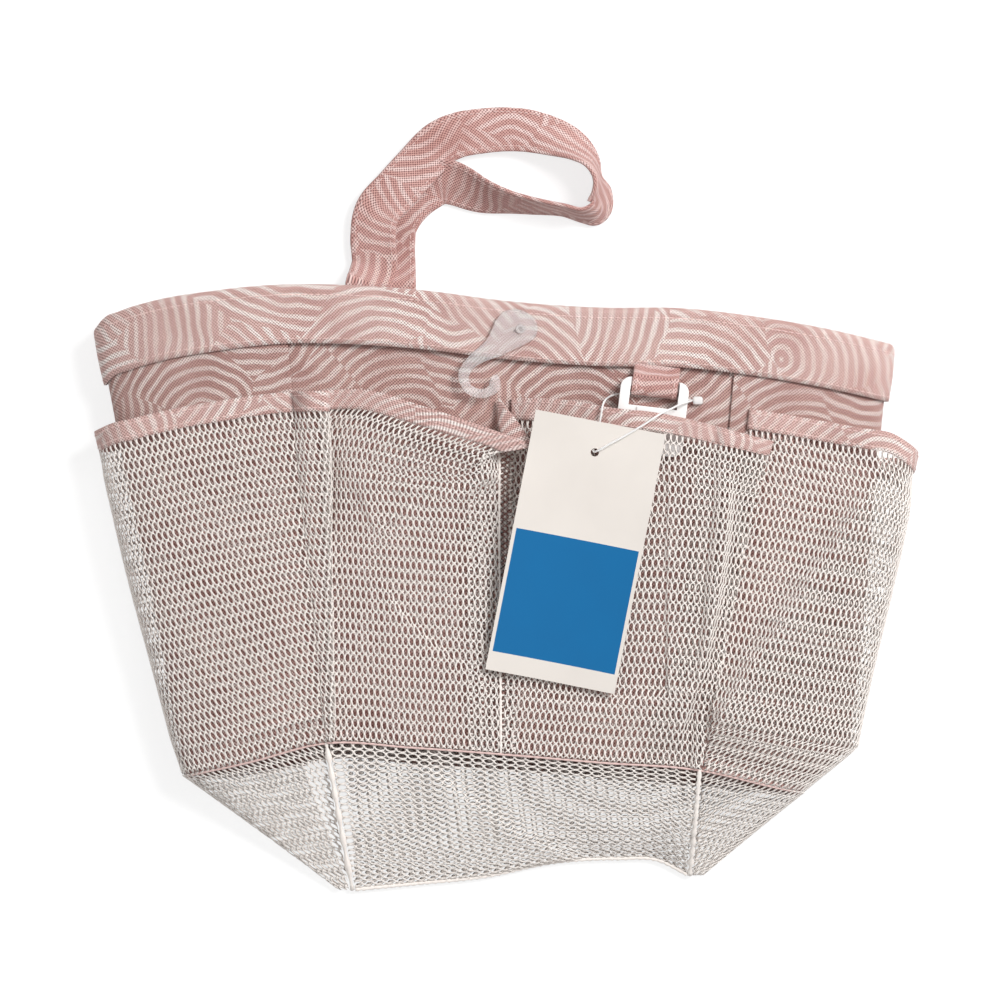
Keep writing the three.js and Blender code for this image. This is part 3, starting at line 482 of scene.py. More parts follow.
def grid_faces(rows, columns, start, flip):
    index = start + np.arange(rows * columns).reshape(rows, columns)
    quads = np.stack([index[:-1, :-1], index[1:, :-1], index[1:, 1:], index[:-1, 1:]], axis=-1)
    quads = quads.reshape(-1, 4)
    return (quads[:, ::-1] if flip else quads).tolist()


def cloth_sheet(name, grid, thickness, material, towards=(0, 0, 1), flat=None, round_edge=True):
    """A closed sheet round a grid, with softly rounded rims."""
    normal, flip = outward(grid, towards), faces_away(grid, towards)
    rows, columns = grid.shape[:2]
    flat = flat_of(grid) if flat is None else flat
    half = thickness / 2
    points = np.concatenate([(grid + normal * half).reshape(-1, 3),
                             (grid - normal * half).reshape(-1, 3)])
    count = rows * columns
    faces = grid_faces(rows, columns, 0, flip) + grid_faces(rows, columns, count, not flip)
    index = np.arange(count).reshape(rows, columns)
    rim = np.concatenate([index[:, 0], index[-1, 1:], index[-2::-1, -1], index[0, -2:0:-1]])
    for a, b in zip(rim, np.roll(rim, -1)):
        face = [int(a), int(a) + count, int(b) + count, int(b)]
        faces.append(face[::-1] if flip else face)
    piece = make_mesh(name, points, faces, np.concatenate([flat.reshape(-1, 2)] * 2), material)
    if round_edge:
        bevelled(piece, thickness * 0.3, 2, 60)
    return piece


def apply_modifiers(piece):
    evaluated = piece.evaluated_get(bpy.context.evaluated_depsgraph_get())
    mesh = bpy.data.meshes.new_from_object(evaluated)
    piece.modifiers.clear()
    piece.data = mesh
    smooth(mesh)


def bevelled(piece, width, segments, angle):
    """Rounds the edges at which faces turn by more than an angle in degrees."""
    edge = piece.modifiers.new("edge", "BEVEL")
    edge.width = width
    edge.segments = segments
    edge.limit_method = "ANGLE"
    edge.angle_limit = math.radians(angle)
    apply_modifiers(piece)


def spread(grid, values, rows_at, columns_at):
    """Values of a grid at places between its rows and columns."""
    rows, columns = grid.shape[:2]
    i = np.clip(np.floor(rows_at).astype(int), 0, rows - 2)
    j = np.clip(np.floor(columns_at).astype(int), 0, columns - 2)
    fi, fj = (rows_at - i)[:, None], (columns_at - j)[:, None]
    upper = mix(values[i, j], values[i, j + 1], fj)
    lower = mix(values[i + 1, j], values[i + 1, j + 1], fj)
    return mix(upper, lower, fi)


def cell_rings(width, length, opening):
    """The corners of one net cell: its outline, a ring halfway, and the oval hole."""
    x, y = width / 2, length / 2
    dx, dy = DIAMOND_WIDTH / 2, DIAMOND_LENGTH / 2
    if width > length:
        dx, dy = dy, dx
    right = [(x, -y + dy), (x, 0), (x, y - dy), (x - dx, y), (0, y), (-x + dx, y)]
    outline = np.array(right + [(-a, -b) for a, b in right])
    angle = np.arctan2(outline[:, 1] / y, outline[:, 0] / x)
    hole = (OVAL_WIDTH, OVAL_LENGTH) if width < length else (OVAL_LENGTH, OVAL_WIDTH)
    oval = np.stack([np.cos(angle) * hole[0], np.sin(angle) * hole[1]], axis=-1) * opening / 2
    on_hole = np.array([True, False, True, True, False, True] * 2)
    return outline, (outline + oval) / 2, oval, on_hole


def net_faces(quads):
    """A net's faces without those that have no area or lie on one another."""
    doubled = (quads == np.roll(quads, 1, axis=1)).any(axis=1)
    faces = quads[~doubled].tolist()
    for quad in quads[doubled].tolist():
        corners = [q for q, before in zip(quad, quad[-1:] + quad[:-1]) if q != before]
        if len(set(corners)) == 3 and len(corners) == 3:
            faces.append(corners)
    corners = [tuple(sorted(face)) for face in faces]
    met = Counter(corners)
    return [face for face, key in zip(faces, corners) if met[key] == 1]


def net_sheet(name, grid, towards, lean, upright=True, fine=True, opening=1.0):
    """An open net in a grid's surface: real threads round oval and diamond holes."""
    normal = outward(grid, towards)
    across = cumulative(grid, 1)
    down = np.median(cumulative(grid, 0), axis=1)
    width, length = (CELL_WIDTH, CELL_LENGTH) if upright else (CELL_LENGTH, CELL_WIDTH)
    outline, middle, oval, on_hole = cell_rings(width, length, opening)
    half_count = int(np.ceil(across[:, -1].max() / 2 / width)
                     + np.ceil(abs(lean) * down[-1] / width)) + 1
    row_count = int(np.ceil(down[-1] / length))
    ci, cj = np.meshgrid(np.arange(-half_count, half_count + 1), np.arange(row_count))
    centres = np.stack([ci.ravel() * width, (cj.ravel() + 0.5) * length], axis=-1)
    ring = np.concatenate([oval, middle, outline, outline])
    high = np.concatenate([np.zeros(12), np.ones(12), np.where(on_hole, 0.0, 1.0), np.zeros(12)])
    places = centres[:, None, :] + ring[None, :, :]
    u, w = places[..., 0].ravel(), places[..., 1].ravel()
    level = np.broadcast_to(high, places.shape[:2]).ravel().copy()
    u = u + lean * (w - down[-1] / 2)
    row_place = np.interp(w, down, np.arange(len(down)))
    edge = np.interp(row_place, np.arange(len(down)), across[:, -1] / 2)
    outside = (np.abs(u) >= edge) | (w >= down[-1]) | (w <= 0)
    u, w = np.clip(u, -edge, edge), np.clip(w, 0, down[-1])
    level[outside] = 0
    # Corners nearer than a ten thousandth of a millimetre are one
    keys = np.stack([np.round(u * 1e7), np.round(w * 1e7), level], axis=-1)
    _, first, shared = np.unique(keys, axis=0, return_index=True, return_inverse=True)
    shared = shared.reshape(-1)
    touched = ~outside.reshape(len(centres), -1).all(axis=1)
    start = np.arange(len(centres))[touched, None] * len(ring)
    k, n = np.arange(12), (np.arange(12) + 1) % 12
    strips = ((36, 0), (0, 12), (12, 24)) if fine else ((36, 0), (0, 24))
    quads = [np.stack([start + a + k, start + b + k, start + b + n, start + a + n], axis=-1)
             for a, b in strips]
    quads = shared[np.concatenate(quads).reshape(-1, 4)]
    if not faces_away(grid, towards):
        quads = quads[:, ::-1]
    u, w, level = u[first], w[first], level[first]
    row_place = np.interp(w, down, np.arange(len(down)))
    i = np.clip(np.floor(row_place).astype(int), 0, len(down) - 2)
    column_place = np.empty_like(u)
    for row in range(len(down) - 1):
        here = i == row
        if here.any():
            total = mix(across[row, -1], across[row + 1, -1], row_place[here] - row)
            column_place[here] = np.interp(u[here] / total + 0.5, across[row] / across[row, -1],
                                           np.arange(grid.shape[1]))
    points = spread(grid, grid, row_place, column_place)
    lift = spread(grid, normal, row_place, column_place)
    points = points + lift * (level * THREAD_HEIGHT)[:, None]
    piece = make_mesh(name, points, net_faces(quads), np.stack([u, -w], axis=-1), NET)
    piece.data.validate()
    make_outward(piece.data)
    return piece


def linear(colour):
    """A colour written as 0-255 values, in the renderer's own units."""
    shares = [value / 255 for value in colour]
    return tuple(c / 12.92 if c <= 0.04045 else ((c + 0.055) / 1.055) ** 2.4
                 for c in shares) + (1.0,)


def add_node(tree, kind, inputs=(), **settings):
    made = tree.nodes.new(kind)
    for key, value in settings.items():
        setattr(made, key, value)
    for key, value in dict(inputs).items():
        if isinstance(value, bpy.types.NodeSocket):
            tree.links.new(value, made.inputs[key])
        else:
            made.inputs[key].default_value = value
    return made


def maths(tree, operation, a, b=0.0, c=0.0):
    return add_node(tree, "ShaderNodeMath", {0: a, 1: b, 2: c}, operation=operation).outputs[0]


def blended(tree, factor, a, b):
    return add_node(tree, "ShaderNodeMix", {0: factor, 6: a, 7: b}, data_type="RGBA").outputs[2]


def noise(tree, place, scale, detail):
    """A noise texture's outputs: its value, then its colour."""
    return add_node(tree, "ShaderNodeTexNoise",
                    {"Vector": place, "Scale": scale, "Detail": detail}).outputs


def finish_shader(tree, shader, height, strength, depth, **links):
    """Links a bump, and whatever else is given, to a shader."""
    bump = add_node(tree, "ShaderNodeBump",
                    {"Strength": strength, "Distance": depth, "Height": height})
    for key, value in dict(links, Normal=bump.outputs[0]).items():
        tree.links.new(value, shader.inputs[key.replace("_", " ")])


def new_material(name, roughness, **settings):
    made = bpy.data.materials.new(name)
    made.use_nodes = True
    shader = made.node_tree.nodes["Principled BSDF"]
    shader.inputs["Roughness"].default_value = roughness
    for key, value in settings.items():
        shader.inputs[key.replace("_", " ")].default_value = value
    return made, made.node_tree, shader


def flat_place(tree, scale=1.0):
    place = add_node(tree, "ShaderNodeUVMap", uv_map="flat").outputs[0]
    return add_node(tree, "ShaderNodeMapping", {0: place, 3: (scale, scale, scale)}).outputs[0]


def weave_height(tree):
    """Threads over and under each other, as a height from 0 to 1."""
    parts = add_node(tree, "ShaderNodeSeparateXYZ", {0: flat_place(tree, 1 / WEAVE_PITCH)}).outputs
    across, along = (maths(tree, "SINE", maths(tree, "MULTIPLY", part, 2 * math.pi))
                     for part in parts[:2])
    return maths(tree, "MULTIPLY_ADD", maths(tree, "MULTIPLY", across, along), 0.5, 0.5)


def vector_maths(tree, operation, a, b, output=0):
    return add_node(tree, "ShaderNodeVectorMath", {0: a, 1: b}, operation=operation).outputs[output]


def stepped(tree, value, low, high, to_low=0.0, to_high=1.0):
    return add_node(tree, "ShaderNodeMapRange", {
        "Value": value, "From Min": low, "From Max": high, "To Min": to_low, "To Max": to_high,
    }, interpolation_type="SMOOTHSTEP").outputs[0]


def arc_lines(tree):
    """Patches of parallel arcs, each patch bent round a centre of its own, as a mask."""
    place = flat_place(tree)
    shaken = vector_maths(tree, "SUBTRACT", noise(tree, place, 70.0, 1.0)[1], (0.5, 0.5, 0.5))
    shaken = vector_maths(tree, "MULTIPLY", shaken, (0.005, 0.005, 0.0))
    place = vector_maths(tree, "ADD", place, shaken)
    cells = add_node(tree, "ShaderNodeTexVoronoi", {
        "Vector": place, "Scale": 1 / ARC_PATCH, "Randomness": 0.9,
    }, voronoi_dimensions="2D")
    away = vector_maths(tree, "SUBTRACT", cells.outputs["Color"], (0.5, 0.5, 0.5))
    away = vector_maths(tree, "MULTIPLY", away, (2.3 * ARC_PATCH, 2.3 * ARC_PATCH, 0.0))
    centre = vector_maths(tree, "ADD", cells.outputs["Position"], away)
    turn = maths(tree, "MULTIPLY", vector_maths(tree, "DISTANCE", place, centre, "Value"),
                 2 * math.pi / ARC_PITCH)
    return stepped(tree, maths(tree, "COSINE", turn), -0.35, 0.85)


def cloth_material(name, *colours):
    """Woven cloth in its ground colour, deeper blotches, arcs and the gaps of its weave."""
    base, deep, line, gap = map(linear, colours)
    made, tree, shader = new_material(name, 0.88, Sheen_Weight=0.15, Sheen_Roughness=0.6,
                                      Specular_IOR_Level=0.2)
    place = flat_place(tree)
    body = blended(tree, stepped(tree, noise(tree, place, 38.0, 4.0)[0], 0.35, 0.7), base, deep)
    patch = stepped(tree, noise(tree, place, 30.0, 1.0)[0], 0.3, 0.6, 0.35, 0.9)
    body = blended(tree, maths(tree, "MULTIPLY", arc_lines(tree), patch), body, line)
    slub = maths(tree, "MULTIPLY", noise(tree, place, 1300.0, 2.0)[0], 0.5)
    grain = maths(tree, "MULTIPLY_ADD", weave_height(tree), 0.7, slub)
    body = blended(tree, stepped(tree, grain, 0.7, 0.38, 0.0, 0.9), body, gap)
    finish_shader(tree, shader, grain, 0.7, 0.00016, Base_Color=body)
    return made


def net_material(name, *colours):
    """Twisted thread."""
    made, tree, shader = new_material(name, 0.8, Sheen_Weight=0.2, Specular_IOR_Level=0.3)
    tint = noise(tree, flat_place(tree), 160.0, 3.0)[0]
    twist = add_node(tree, "ShaderNodeTexWave", {
        "Vector": flat_place(tree, 2600.0), "Scale": 1.0, "Distortion": 3.0, "Detail": 1.0,
    }, bands_direction="DIAGONAL")
    finish_shader(tree, shader, twist.outputs[1], 0.5, 0.00006,
                  Base_Color=blended(tree, tint, *map(linear, colours)))
    return made


def plastic_material(name, *colours):
    """Moulded plastic with a fine grain."""
    made, tree, shader = new_material(name, 0.4, Specular_IOR_Level=0.45)
    place = add_node(tree, "ShaderNodeTexCoord").outputs["Object"]
    speck, cloud = noise(tree, place, 900.0, 3.0)[0], noise(tree, place, 90.0, 2.0)[0]
    finish_shader(tree, shader, speck, 0.25, 0.00004,
                  Base_Color=blended(tree, cloud, *map(linear, colours)),
                  Roughness=maths(tree, "MULTIPLY_ADD", speck, 0.25, 0.3))
    return made


def clear_material(name, colour, transmission):
    """Clear or milky plastic with a slightly uneven surface."""
    made, tree, shader = new_material(name, 0.16, Transmission_Weight=transmission, IOR=1.3,
                                      Specular_IOR_Level=0.6, Base_Color=linear(colour))
    place = add_node(tree, "ShaderNodeTexCoord").outputs["Object"]
    cloud = noise(tree, place, 260.0, 2.0)[0]
    finish_shader(tree, shader, cloud, 0.3, 0.0002,
                  Roughness=maths(tree, "MULTIPLY_ADD", cloud, 0.2, 0.08))
    return made


def card_material(name, *colours):
    """A coated card with one plain block of colour; its flat map is in metres from its hole."""
    paper, paper_deep, block, block_deep = map(linear, colours)
    made, tree, shader = new_material(name, 0.6, Specular_IOR_Level=0.25, Coat_Weight=0.06,
                                      Coat_Roughness=0.4)
    place = flat_place(tree)
    across, along, _ = add_node(tree, "ShaderNodeSeparateXYZ", {0: place}).outputs
    low, high, half = CARD_BLOCK
    inside = [maths(tree, "GREATER_THAN", along, low), maths(tree, "LESS_THAN", along, high),
              maths(tree, "LESS_THAN", maths(tree, "ABSOLUTE", across), half)]
    face = maths(tree, "MULTIPLY", maths(tree, "MULTIPLY", *inside[:2]), inside[2])
    cloud = noise(tree, place, 45.0, 3.0)[0]
    body = blended(tree, face, blended(tree, cloud, paper, paper_deep),
                   blended(tree, cloud, block, block_deep))
    finish_shader(tree, shader, noise(tree, place, 2400.0, 2.0)[0], 0.15, 0.00003, Base_Color=body)
    return made


PRINT = cloth_material("printed_cloth", (222, 187, 180), (203, 164, 157), (252, 243, 238),
                       (116, 82, 76))
# The lining is the printed cloth with every colour darker and deeper: painted shade for the walls
# that lie under the nets.
SHADED_LINING = cloth_material("lining_cloth", (200, 162, 154), (177, 136, 129), (239, 223, 217),
                        (90, 61, 55))
WEBBING = cloth_material("strap_cloth", (215, 170, 163), (194, 146, 139), (242, 216, 211),
                         (106, 68, 63))
NET = net_material("net", (253, 247, 241), (246, 236, 229))
THREAD = net_material("thread", (236, 208, 203), (216, 182, 176))
WHITE = plastic_material("white_plastic", (246, 244, 243), (236, 233, 231))
CLEAR = clear_material("clear_plastic", (252, 252, 252), 0.82)
MILKY = clear_material("loop_plastic", (250, 249, 248), 0.25)
CARD = card_material("card", (230, 223, 216), (219, 212, 205), (0, 104, 160), (4, 98, 152))


def sweep(name, sections, material, ring=False):
    """A closed tube of sections, either a ring or capped at both ends, with a flat map."""
    count, size = sections.shape[:2]
    joined = np.concatenate([sections, sections[:1]]) if ring else sections
    u = cumulative(joined.mean(axis=1), 0)
    v = np.median(cumulative(np.concatenate([sections, sections[:, :1]], axis=1), 1), axis=0)
    k, m = np.meshgrid(np.arange(len(joined) - 1), np.arange(size), indexing="ij")
    k, m = k.ravel(), m.ravel()
    turns = ((0, 0), (0, 1), (1, 1), (1, 0))
    faces = np.stack([(k + a) % count * size + (m + b) % size for a, b in turns], axis=-1).tolist()
    flats = np.stack([np.stack([u[k + a], v[m + b]], -1) for a, b in turns], axis=1).reshape(-1, 2)
    if not ring:
        first = list(range(size))[::-1]
        faces += [first, [(count - 1) * size + i for i in range(size)]]
        flats = np.concatenate([flats, np.stack([np.zeros(size), v[first]], -1),
                                np.stack([np.full(size, u[-1]), v[:-1]], -1)])
    piece = make_mesh(name, sections, faces, flats, material, by_corner=True)
    make_outward(piece.data)
    return piece


def finish_piece(piece, body, slot, *nodes):
    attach(piece, body)
    if nodes:
        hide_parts(*nodes)


def bag_net(name, grid, towards, lean, share, *nodes, **layout):
    """A net on the bag, attached to its body; the share that its threads fill is not used."""
    net = net_sheet(name, grid, towards, lean, **layout)
    finish_piece(net, "bag", "net", *nodes)


def unit(rows):
    return rows / np.maximum(np.linalg.norm(rows, axis=-1, keepdims=True), 1e-9)


def stitch_row(name, path, normals, stitch, radius, body="bag"):
    """A row of short thread stitches lying along a path on a surface."""
    pitch, length = stitch
    along = cumulative(path, 0)
    middles = (np.arange(max(int(along[-1] / pitch), 1)) + 0.5) * pitch
    ends = [np.stack([np.interp(middles + side * length / 2, along, path[:, axis])
                      for axis in range(3)], axis=-1) for side in (-1, 1)]
    up = unit(np.stack([np.interp(middles, along, normals[:, axis]) for axis in range(3)], axis=-1))
    across = np.cross(up, unit(ends[1] - ends[0]))
    rings = ((0.0, 0.25), (0.14, 0.85), (0.5, 1.0), (0.86, 0.85), (1.0, 0.25))
    sides = 6
    points = []
    for share, wide in rings:
        for angle in np.arange(sides) / sides * 2 * math.pi:
            offset = (across * math.cos(angle) + up * (math.sin(angle) * 0.7)) * radius * wide
            arch = up * radius * 0.45 * math.sin(math.pi * share)
            points.append(mix(ends[0], ends[1], share) + offset + arch)
    points = np.stack(points, axis=1).reshape(-1, 3)
    faces = []
    for k in range(0, (len(rings) - 1) * sides, sides):
        for m in range(sides):
            n = (m + 1) % sides
            faces.append([k + m, k + n, k + sides + n, k + sides + m])
    faces += [list(range(sides))[::-1], [(len(rings) - 1) * sides + m for m in range(sides)]]
    size = len(rings) * sides
    all_faces = [[i * size + c for c in face] for i in range(len(middles)) for face in faces]
    piece = make_mesh(name, points, all_faces, points[:, :2], THREAD)
    make_outward(piece.data)
    if body:
        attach(piece, body)
    return piece


def edge_path(grid, normal, down, lift):
    """A line along a grid's rows at a distance down from its first row, and its normals."""
    depth = cumulative(grid, 0)
    share = np.array([np.interp(down, depth[:, j], np.arange(len(depth)))
                      for j in range(grid.shape[1])])
    columns = np.arange(grid.shape[1], dtype=float)
    up = spread(grid, normal, share, columns)
    return spread(grid, grid, share, columns) + up * lift, up


def seam_cord(name, path, normals, radius, material, twist):
    """A sewn edge: a thin, slightly twisted roll along a path."""
    ahead = unit(np.gradient(path, axis=0))
    out = unit(normals - ahead * (normals * ahead).sum(axis=1, keepdims=True))
    side = np.cross(ahead, out)
    swell = 1 + twist * np.sin(cumulative(path, 0) * 2 * math.pi / CORD_TWIST_PITCH)
    angles = np.arange(8) / 8 * 2 * math.pi
    rings = np.stack([(out * math.cos(a) + side * math.sin(a)) * radius for a in angles], axis=1)
    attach(sweep(name, path[:, None, :] + rings * swell[:, None, None], material), "bag")


def width_at(corners, v):
    left, right = corners
    return (fold_at(right, v) - fold_at(left, v)) * BAG_WIDTH


def edge_fade(grid, edge):
    """One in a grid's middle, running out to nothing at its edges."""
    rows, columns = np.meshgrid(steps(grid.shape[0] - 1), steps(grid.shape[1] - 1), indexing="ij")
    return (smoothstep(np.minimum(rows, 1 - rows), 0, edge)
            * smoothstep(np.minimum(columns, 1 - columns), 0, edge))[..., None]


def ruffled(grid, towards, size, turn=0.0, edge=0.12, puff=0.0):
    """Slow waves over a grid, and a puff outwards, that die away at its edges."""
    height = wave_at(grid, turn)[..., None] * size + puff
    return grid + outward(grid, towards) * height * edge_fade(grid, edge)


def puffed(grid, towards, size, turn):
    """As ruffled, but only outwards."""
    return ruffled(grid, towards, size / 2, turn, puff=size / 2)


def wall(name, grid, towards):
    # The walls wear the lining cloth, whose darker colours are painted shade.
    piece = cloth_sheet(name + "_wall", grid, CLOTH_SEEN, SHADED_LINING, towards)
    finish_piece(piece, "bag", "lining_cloth", name + "_lining")


def front_lining():
    v = steps(60, HEM_SHARE, 1)[:, None]
    lap = CORNER_LAP / width_at(FRONT_CORNERS, v)
    grid = tube_at("front", mix(-lap, 1 + lap, steps(90)), v, -WALL_OFFSET)
    wall("front", ruffled(grid, (0, 0, 1), WALL_WAVE), (0, 0, 1))


def back_sag(s, v):
    width = width_at(BACK_CORNERS, v)
    start = 2 * CORNER_LAP / width
    return smoothstep(np.minimum(s, 1 - s), start, start + SAG_RUN / width) * SAG_DEPTH


def back_lining():
    v = steps(50, HEM_SHARE, 1)[:, None]
    lap = CORNER_LAP / width_at(BACK_CORNERS, v)
    s = mix(-lap, 1 + lap, steps(90))
    band = (BAND_HEIGHT + EDGE_RISE) / WALL_LENGTH
    grid = tube_at("back", s, v, -WALL_OFFSET)
    grid[..., 2] -= back_sag(s, v) * smoothstep(v, band, band + SAG_RUN / WALL_LENGTH)
    wall("back", grid, (0, 0, -1))


def side_lining(side, sign):
    grid = tube_at(side, steps(90), steps(60, HEM_SHARE, 1)[:, None], WALL_OFFSET)
    wall(side, ruffled(grid, (sign, 0, 0), -SIDE_WALL_WAVE, turn=sign), (sign, 0, 0))


def rim_band():
    """One strip folded over the walls' top edges, all round the mouth."""
    outer, inner = BAND_FACE, BAND_FACE - CLOTH_SEEN
    turn = steps(10, 0, math.pi)
    profile = [(outer, d) for d in steps(9, BAND_HEIGHT, outer)]
    profile += [(outer * math.cos(a), outer * (1 - math.sin(a))) for a in turn[1:-1]]
    profile += [(-outer, d) for d in steps(9, outer, BAND_HEIGHT)]
    profile += [(-inner, d) for d in steps(5, BAND_HEIGHT, outer)]
    profile += [(-inner * math.cos(a), outer - inner * math.sin(a)) for a in turn[1:-1]]
    profile += [(inner, d) for d in steps(5, outer, BAND_HEIGHT)]
    offset, down = np.array(profile).T
    stations = [(side, s)
                for side, count in (("left", 54), ("front", 90), ("right", 54), ("back", 60))
                for s in steps(count)[:-1]]
    hook_place = bag_point(PIN_AT[0], PIN_AT[1], 0)[:2]
    puff = BAND_PUFF * np.sin(np.pi * np.clip(down / BAND_HEIGHT, 0, 1)) * np.sign(offset)
    sections = []
    for side, s in stations:
        line = tube_at(side, s, down / WALL_LENGTH, 0.0)
        out = (tube_at(side, s, down / WALL_LENGTH, 0.001) - line) / 0.001
        near_hook = np.hypot(*(line[:, :2] - hook_place).T)
        eased = ((puff + wave_at(line * 1.6) * BAND_WAVE)
                 * smoothstep(near_hook, HOOK_REACH, HOOK_REACH * 1.5))
        section = line + out * (offset + eased)[:, None]
        section[:, 2] = np.maximum(section[:, 2], FLOOR_CLEARANCE)
        sections.append(section)
    sections = np.array(sections)
    piece = sweep("mouth_band", sections, PRINT, ring=True)
    finish_piece(piece, "bag", "printed_cloth", "rim_band")
    grid = sections[:, 9::-1].transpose(1, 0, 2)
    normal = normals_of(grid)
    normal = normal * np.sign((normal * (grid - sections[:, -8])).sum(axis=-1).mean(axis=0))[:, None]
    for name, at in BAND_STITCHES:
        path, up = edge_path(grid, normal, at - BAND_FACE, STITCH_SINK / 2)
        stitch_row(name, path, up, LONG_STITCH, STITCH_RADIUS)


def side_pocket_at(side, s, v):
    """A side's pocket; past 1, s runs along the left one's lap over the front and then under it."""
    is_left = side == "left"
    w = ramp(v, LEFT_POCKET_MOUTH if is_left else RIGHT_POCKET_MOUTH, 1)
    along = s if is_left else 1 - s
    start, peak, end = POCKET_FLARE
    bump = smoothstep(along, start, peak) * (1 - smoothstep(along, peak, end))
    flare = (LEFT_FLARE if is_left else RIGHT_FLARE) * bump * (1 - w) ** FLARE_FADE
    swell = SIDE_SWELL * np.sin(np.pi * ramp(along, start, 1)) * np.sin(np.pi * w)
    ridge = mix(RIDGE_AT_SEAM, RIDGE_AT_MOUTH, np.clip(1 - w / RIDGE_FADE, 0, 1) ** 1.4)
    if not is_left:
        return tube_at(side, s, v, POCKET_OFFSET + flare + swell)
    rise = ridge * smoothstep(s, 0.82, 1.6)
    points = tube_at(side, s, v, POCKET_OFFSET + flare + swell + rise * (s < 1))
    at_mouth, at_seam = LEFT_POCKET_CORNER
    reach = mix(at_mouth, at_seam, w) - fold_at("front_left", v)
    across = (np.minimum(s, 2) - 1) * reach * BAG_WIDTH / width_at(FRONT_CORNERS, v)
    lapped = tube_at("front", across, v, POCKET_OFFSET + rise)
    turn = np.clip(s - 2, 0, 1) * math.pi
    half = (POCKET_OFFSET + ridge - WALL_OFFSET * 1.6) / 2
    lapped[..., 0] += np.sin(turn) * half * 0.6 - ramp(s, 2.5, 3) * 0.0015
    lapped[..., 2] -= (1 - np.cos(turn)) * half
    return np.where(s[..., None] > 1, lapped, points)


def side_pocket_grid(side, v_from, v_to, down):
    v = steps(down, v_from, v_to)[:, None]
    if side == "left":
        s = np.concatenate([steps(80), steps(16, 1, 2)[1:], steps(12, 2, 3)[1:]])[None, :] + 0 * v
    else:
        w = ramp(v, RIGHT_POCKET_MOUTH, 1)
        s = mix(mix(RIGHT_POCKET_START[0], RIGHT_POCKET_START[1], w), 1, steps(90)[None, :])
        hem = RIGHT_POCKET_MOUTH + BINDING_WIDTH / WALL_LENGTH
        v = v - RIGHT_MOUTH_RISE * (1 - smoothstep(s, 0.42, 0.6)) * (1 - ramp(v, hem, 1))
    return side_pocket_at(side, s, v + 0 * s)


def doubled_net(name, grid, towards, line, inside, lean, last=None):
    """A second layer of net under a pocket, from beside a line of shares to a column."""
    last = grid.shape[1] - 1 if last is None else last
    places = np.array([bag_point(x, y, 0)[:2] for x, y in line[::-1]])
    beyond = grid[..., 0] - np.interp(grid[..., 1], places[:, 1], places[:, 0]) + inside
    columns = np.arange(last + 1)
    first = np.array([np.interp(0, row[:last + 1], columns) for row in beyond])
    top = int(np.argmax(first < last - DOUBLED_LEAST))
    under = (grid - outward(grid, towards) * DOUBLED_GAP)[top:]
    at = mix(np.minimum(first[top:, None], last - DOUBLED_LEAST), last, steps(50))
    rows = np.arange(len(under))[:, None] + 0 * at
    strip = spread(under, under, rows.ravel(), at.ravel()).reshape(len(under), -1, 3)
    bag_net(name, strip, towards, lean, COARSE_SOLID_SHARE, fine=False)


def pocket(name, grid, hem_grid, towards, lean):
    """A pocket's net with the binding over its top edge."""
    net = net_sheet(name + "_pocket", grid, towards, lean)
    finish_piece(net, "bag", "net", name + "_pocket_net")
    binding = binding_strip(name + "_pocket_hem", hem_grid, towards, name + "_pocket_binding")


def side_pocket(side, sign):
    mouth = LEFT_POCKET_MOUTH if side == "left" else RIGHT_POCKET_MOUTH
    hem = mouth + BINDING_WIDTH / WALL_LENGTH
    grid = puffed(side_pocket_grid(side, hem - 0.004, 1, 70), (sign, 0, 0), POCKET_PUFF, 2 * sign)
    if side == "right":
        grid = with_fold(grid, *RIGHT_FOLD)
    grid[..., 2] = np.maximum(grid[..., 2], 2 * THREAD_HEIGHT)
    pocket(side, grid, side_pocket_grid(side, mouth, hem, 8), (sign, 0, 0), NET_LEANS[side])
    if side == "right":
        doubled_net("right_pocket_fold", grid, (1, 0, 0), RIGHT_FOLD[0], 0.0, NET_LEANS[side],
                    RIGHT_NOSE_COLUMN)


def binding_strip(name, grid, towards, node):
    """A folded cloth binding with its stitches, over a pocket's top edge."""
    normal = outward(grid, towards)
    columns = np.arange(grid.shape[1])
    wave = np.sin(columns * 0.31) * 0.4 + np.sin(columns * 0.83 + 1) * 0.25
    grid = grid + normal * (wave * HEM_WAVE)[None, :, None]
    half = BINDING_THICKNESS / 2 * (0.75 + 0.45 * np.sin(np.pi * steps(len(grid) - 1))) ** 0.5
    half = half[:, None, None] * normal
    piece = sweep(name, np.concatenate([grid + half, (grid - half)[::-1]]).transpose(1, 0, 2), PRINT)
    finish_piece(piece, "bag", "printed_cloth", node)
    pieces = [piece]
    for label, at in BINDING_STITCHES:
        path, up = edge_path(grid, normal, at, BINDING_THICKNESS / 2 + 0.0001)
        pieces.append(stitch_row(name + label, path, up, SHORT_STITCH, STITCH_RADIUS))
    return pieces


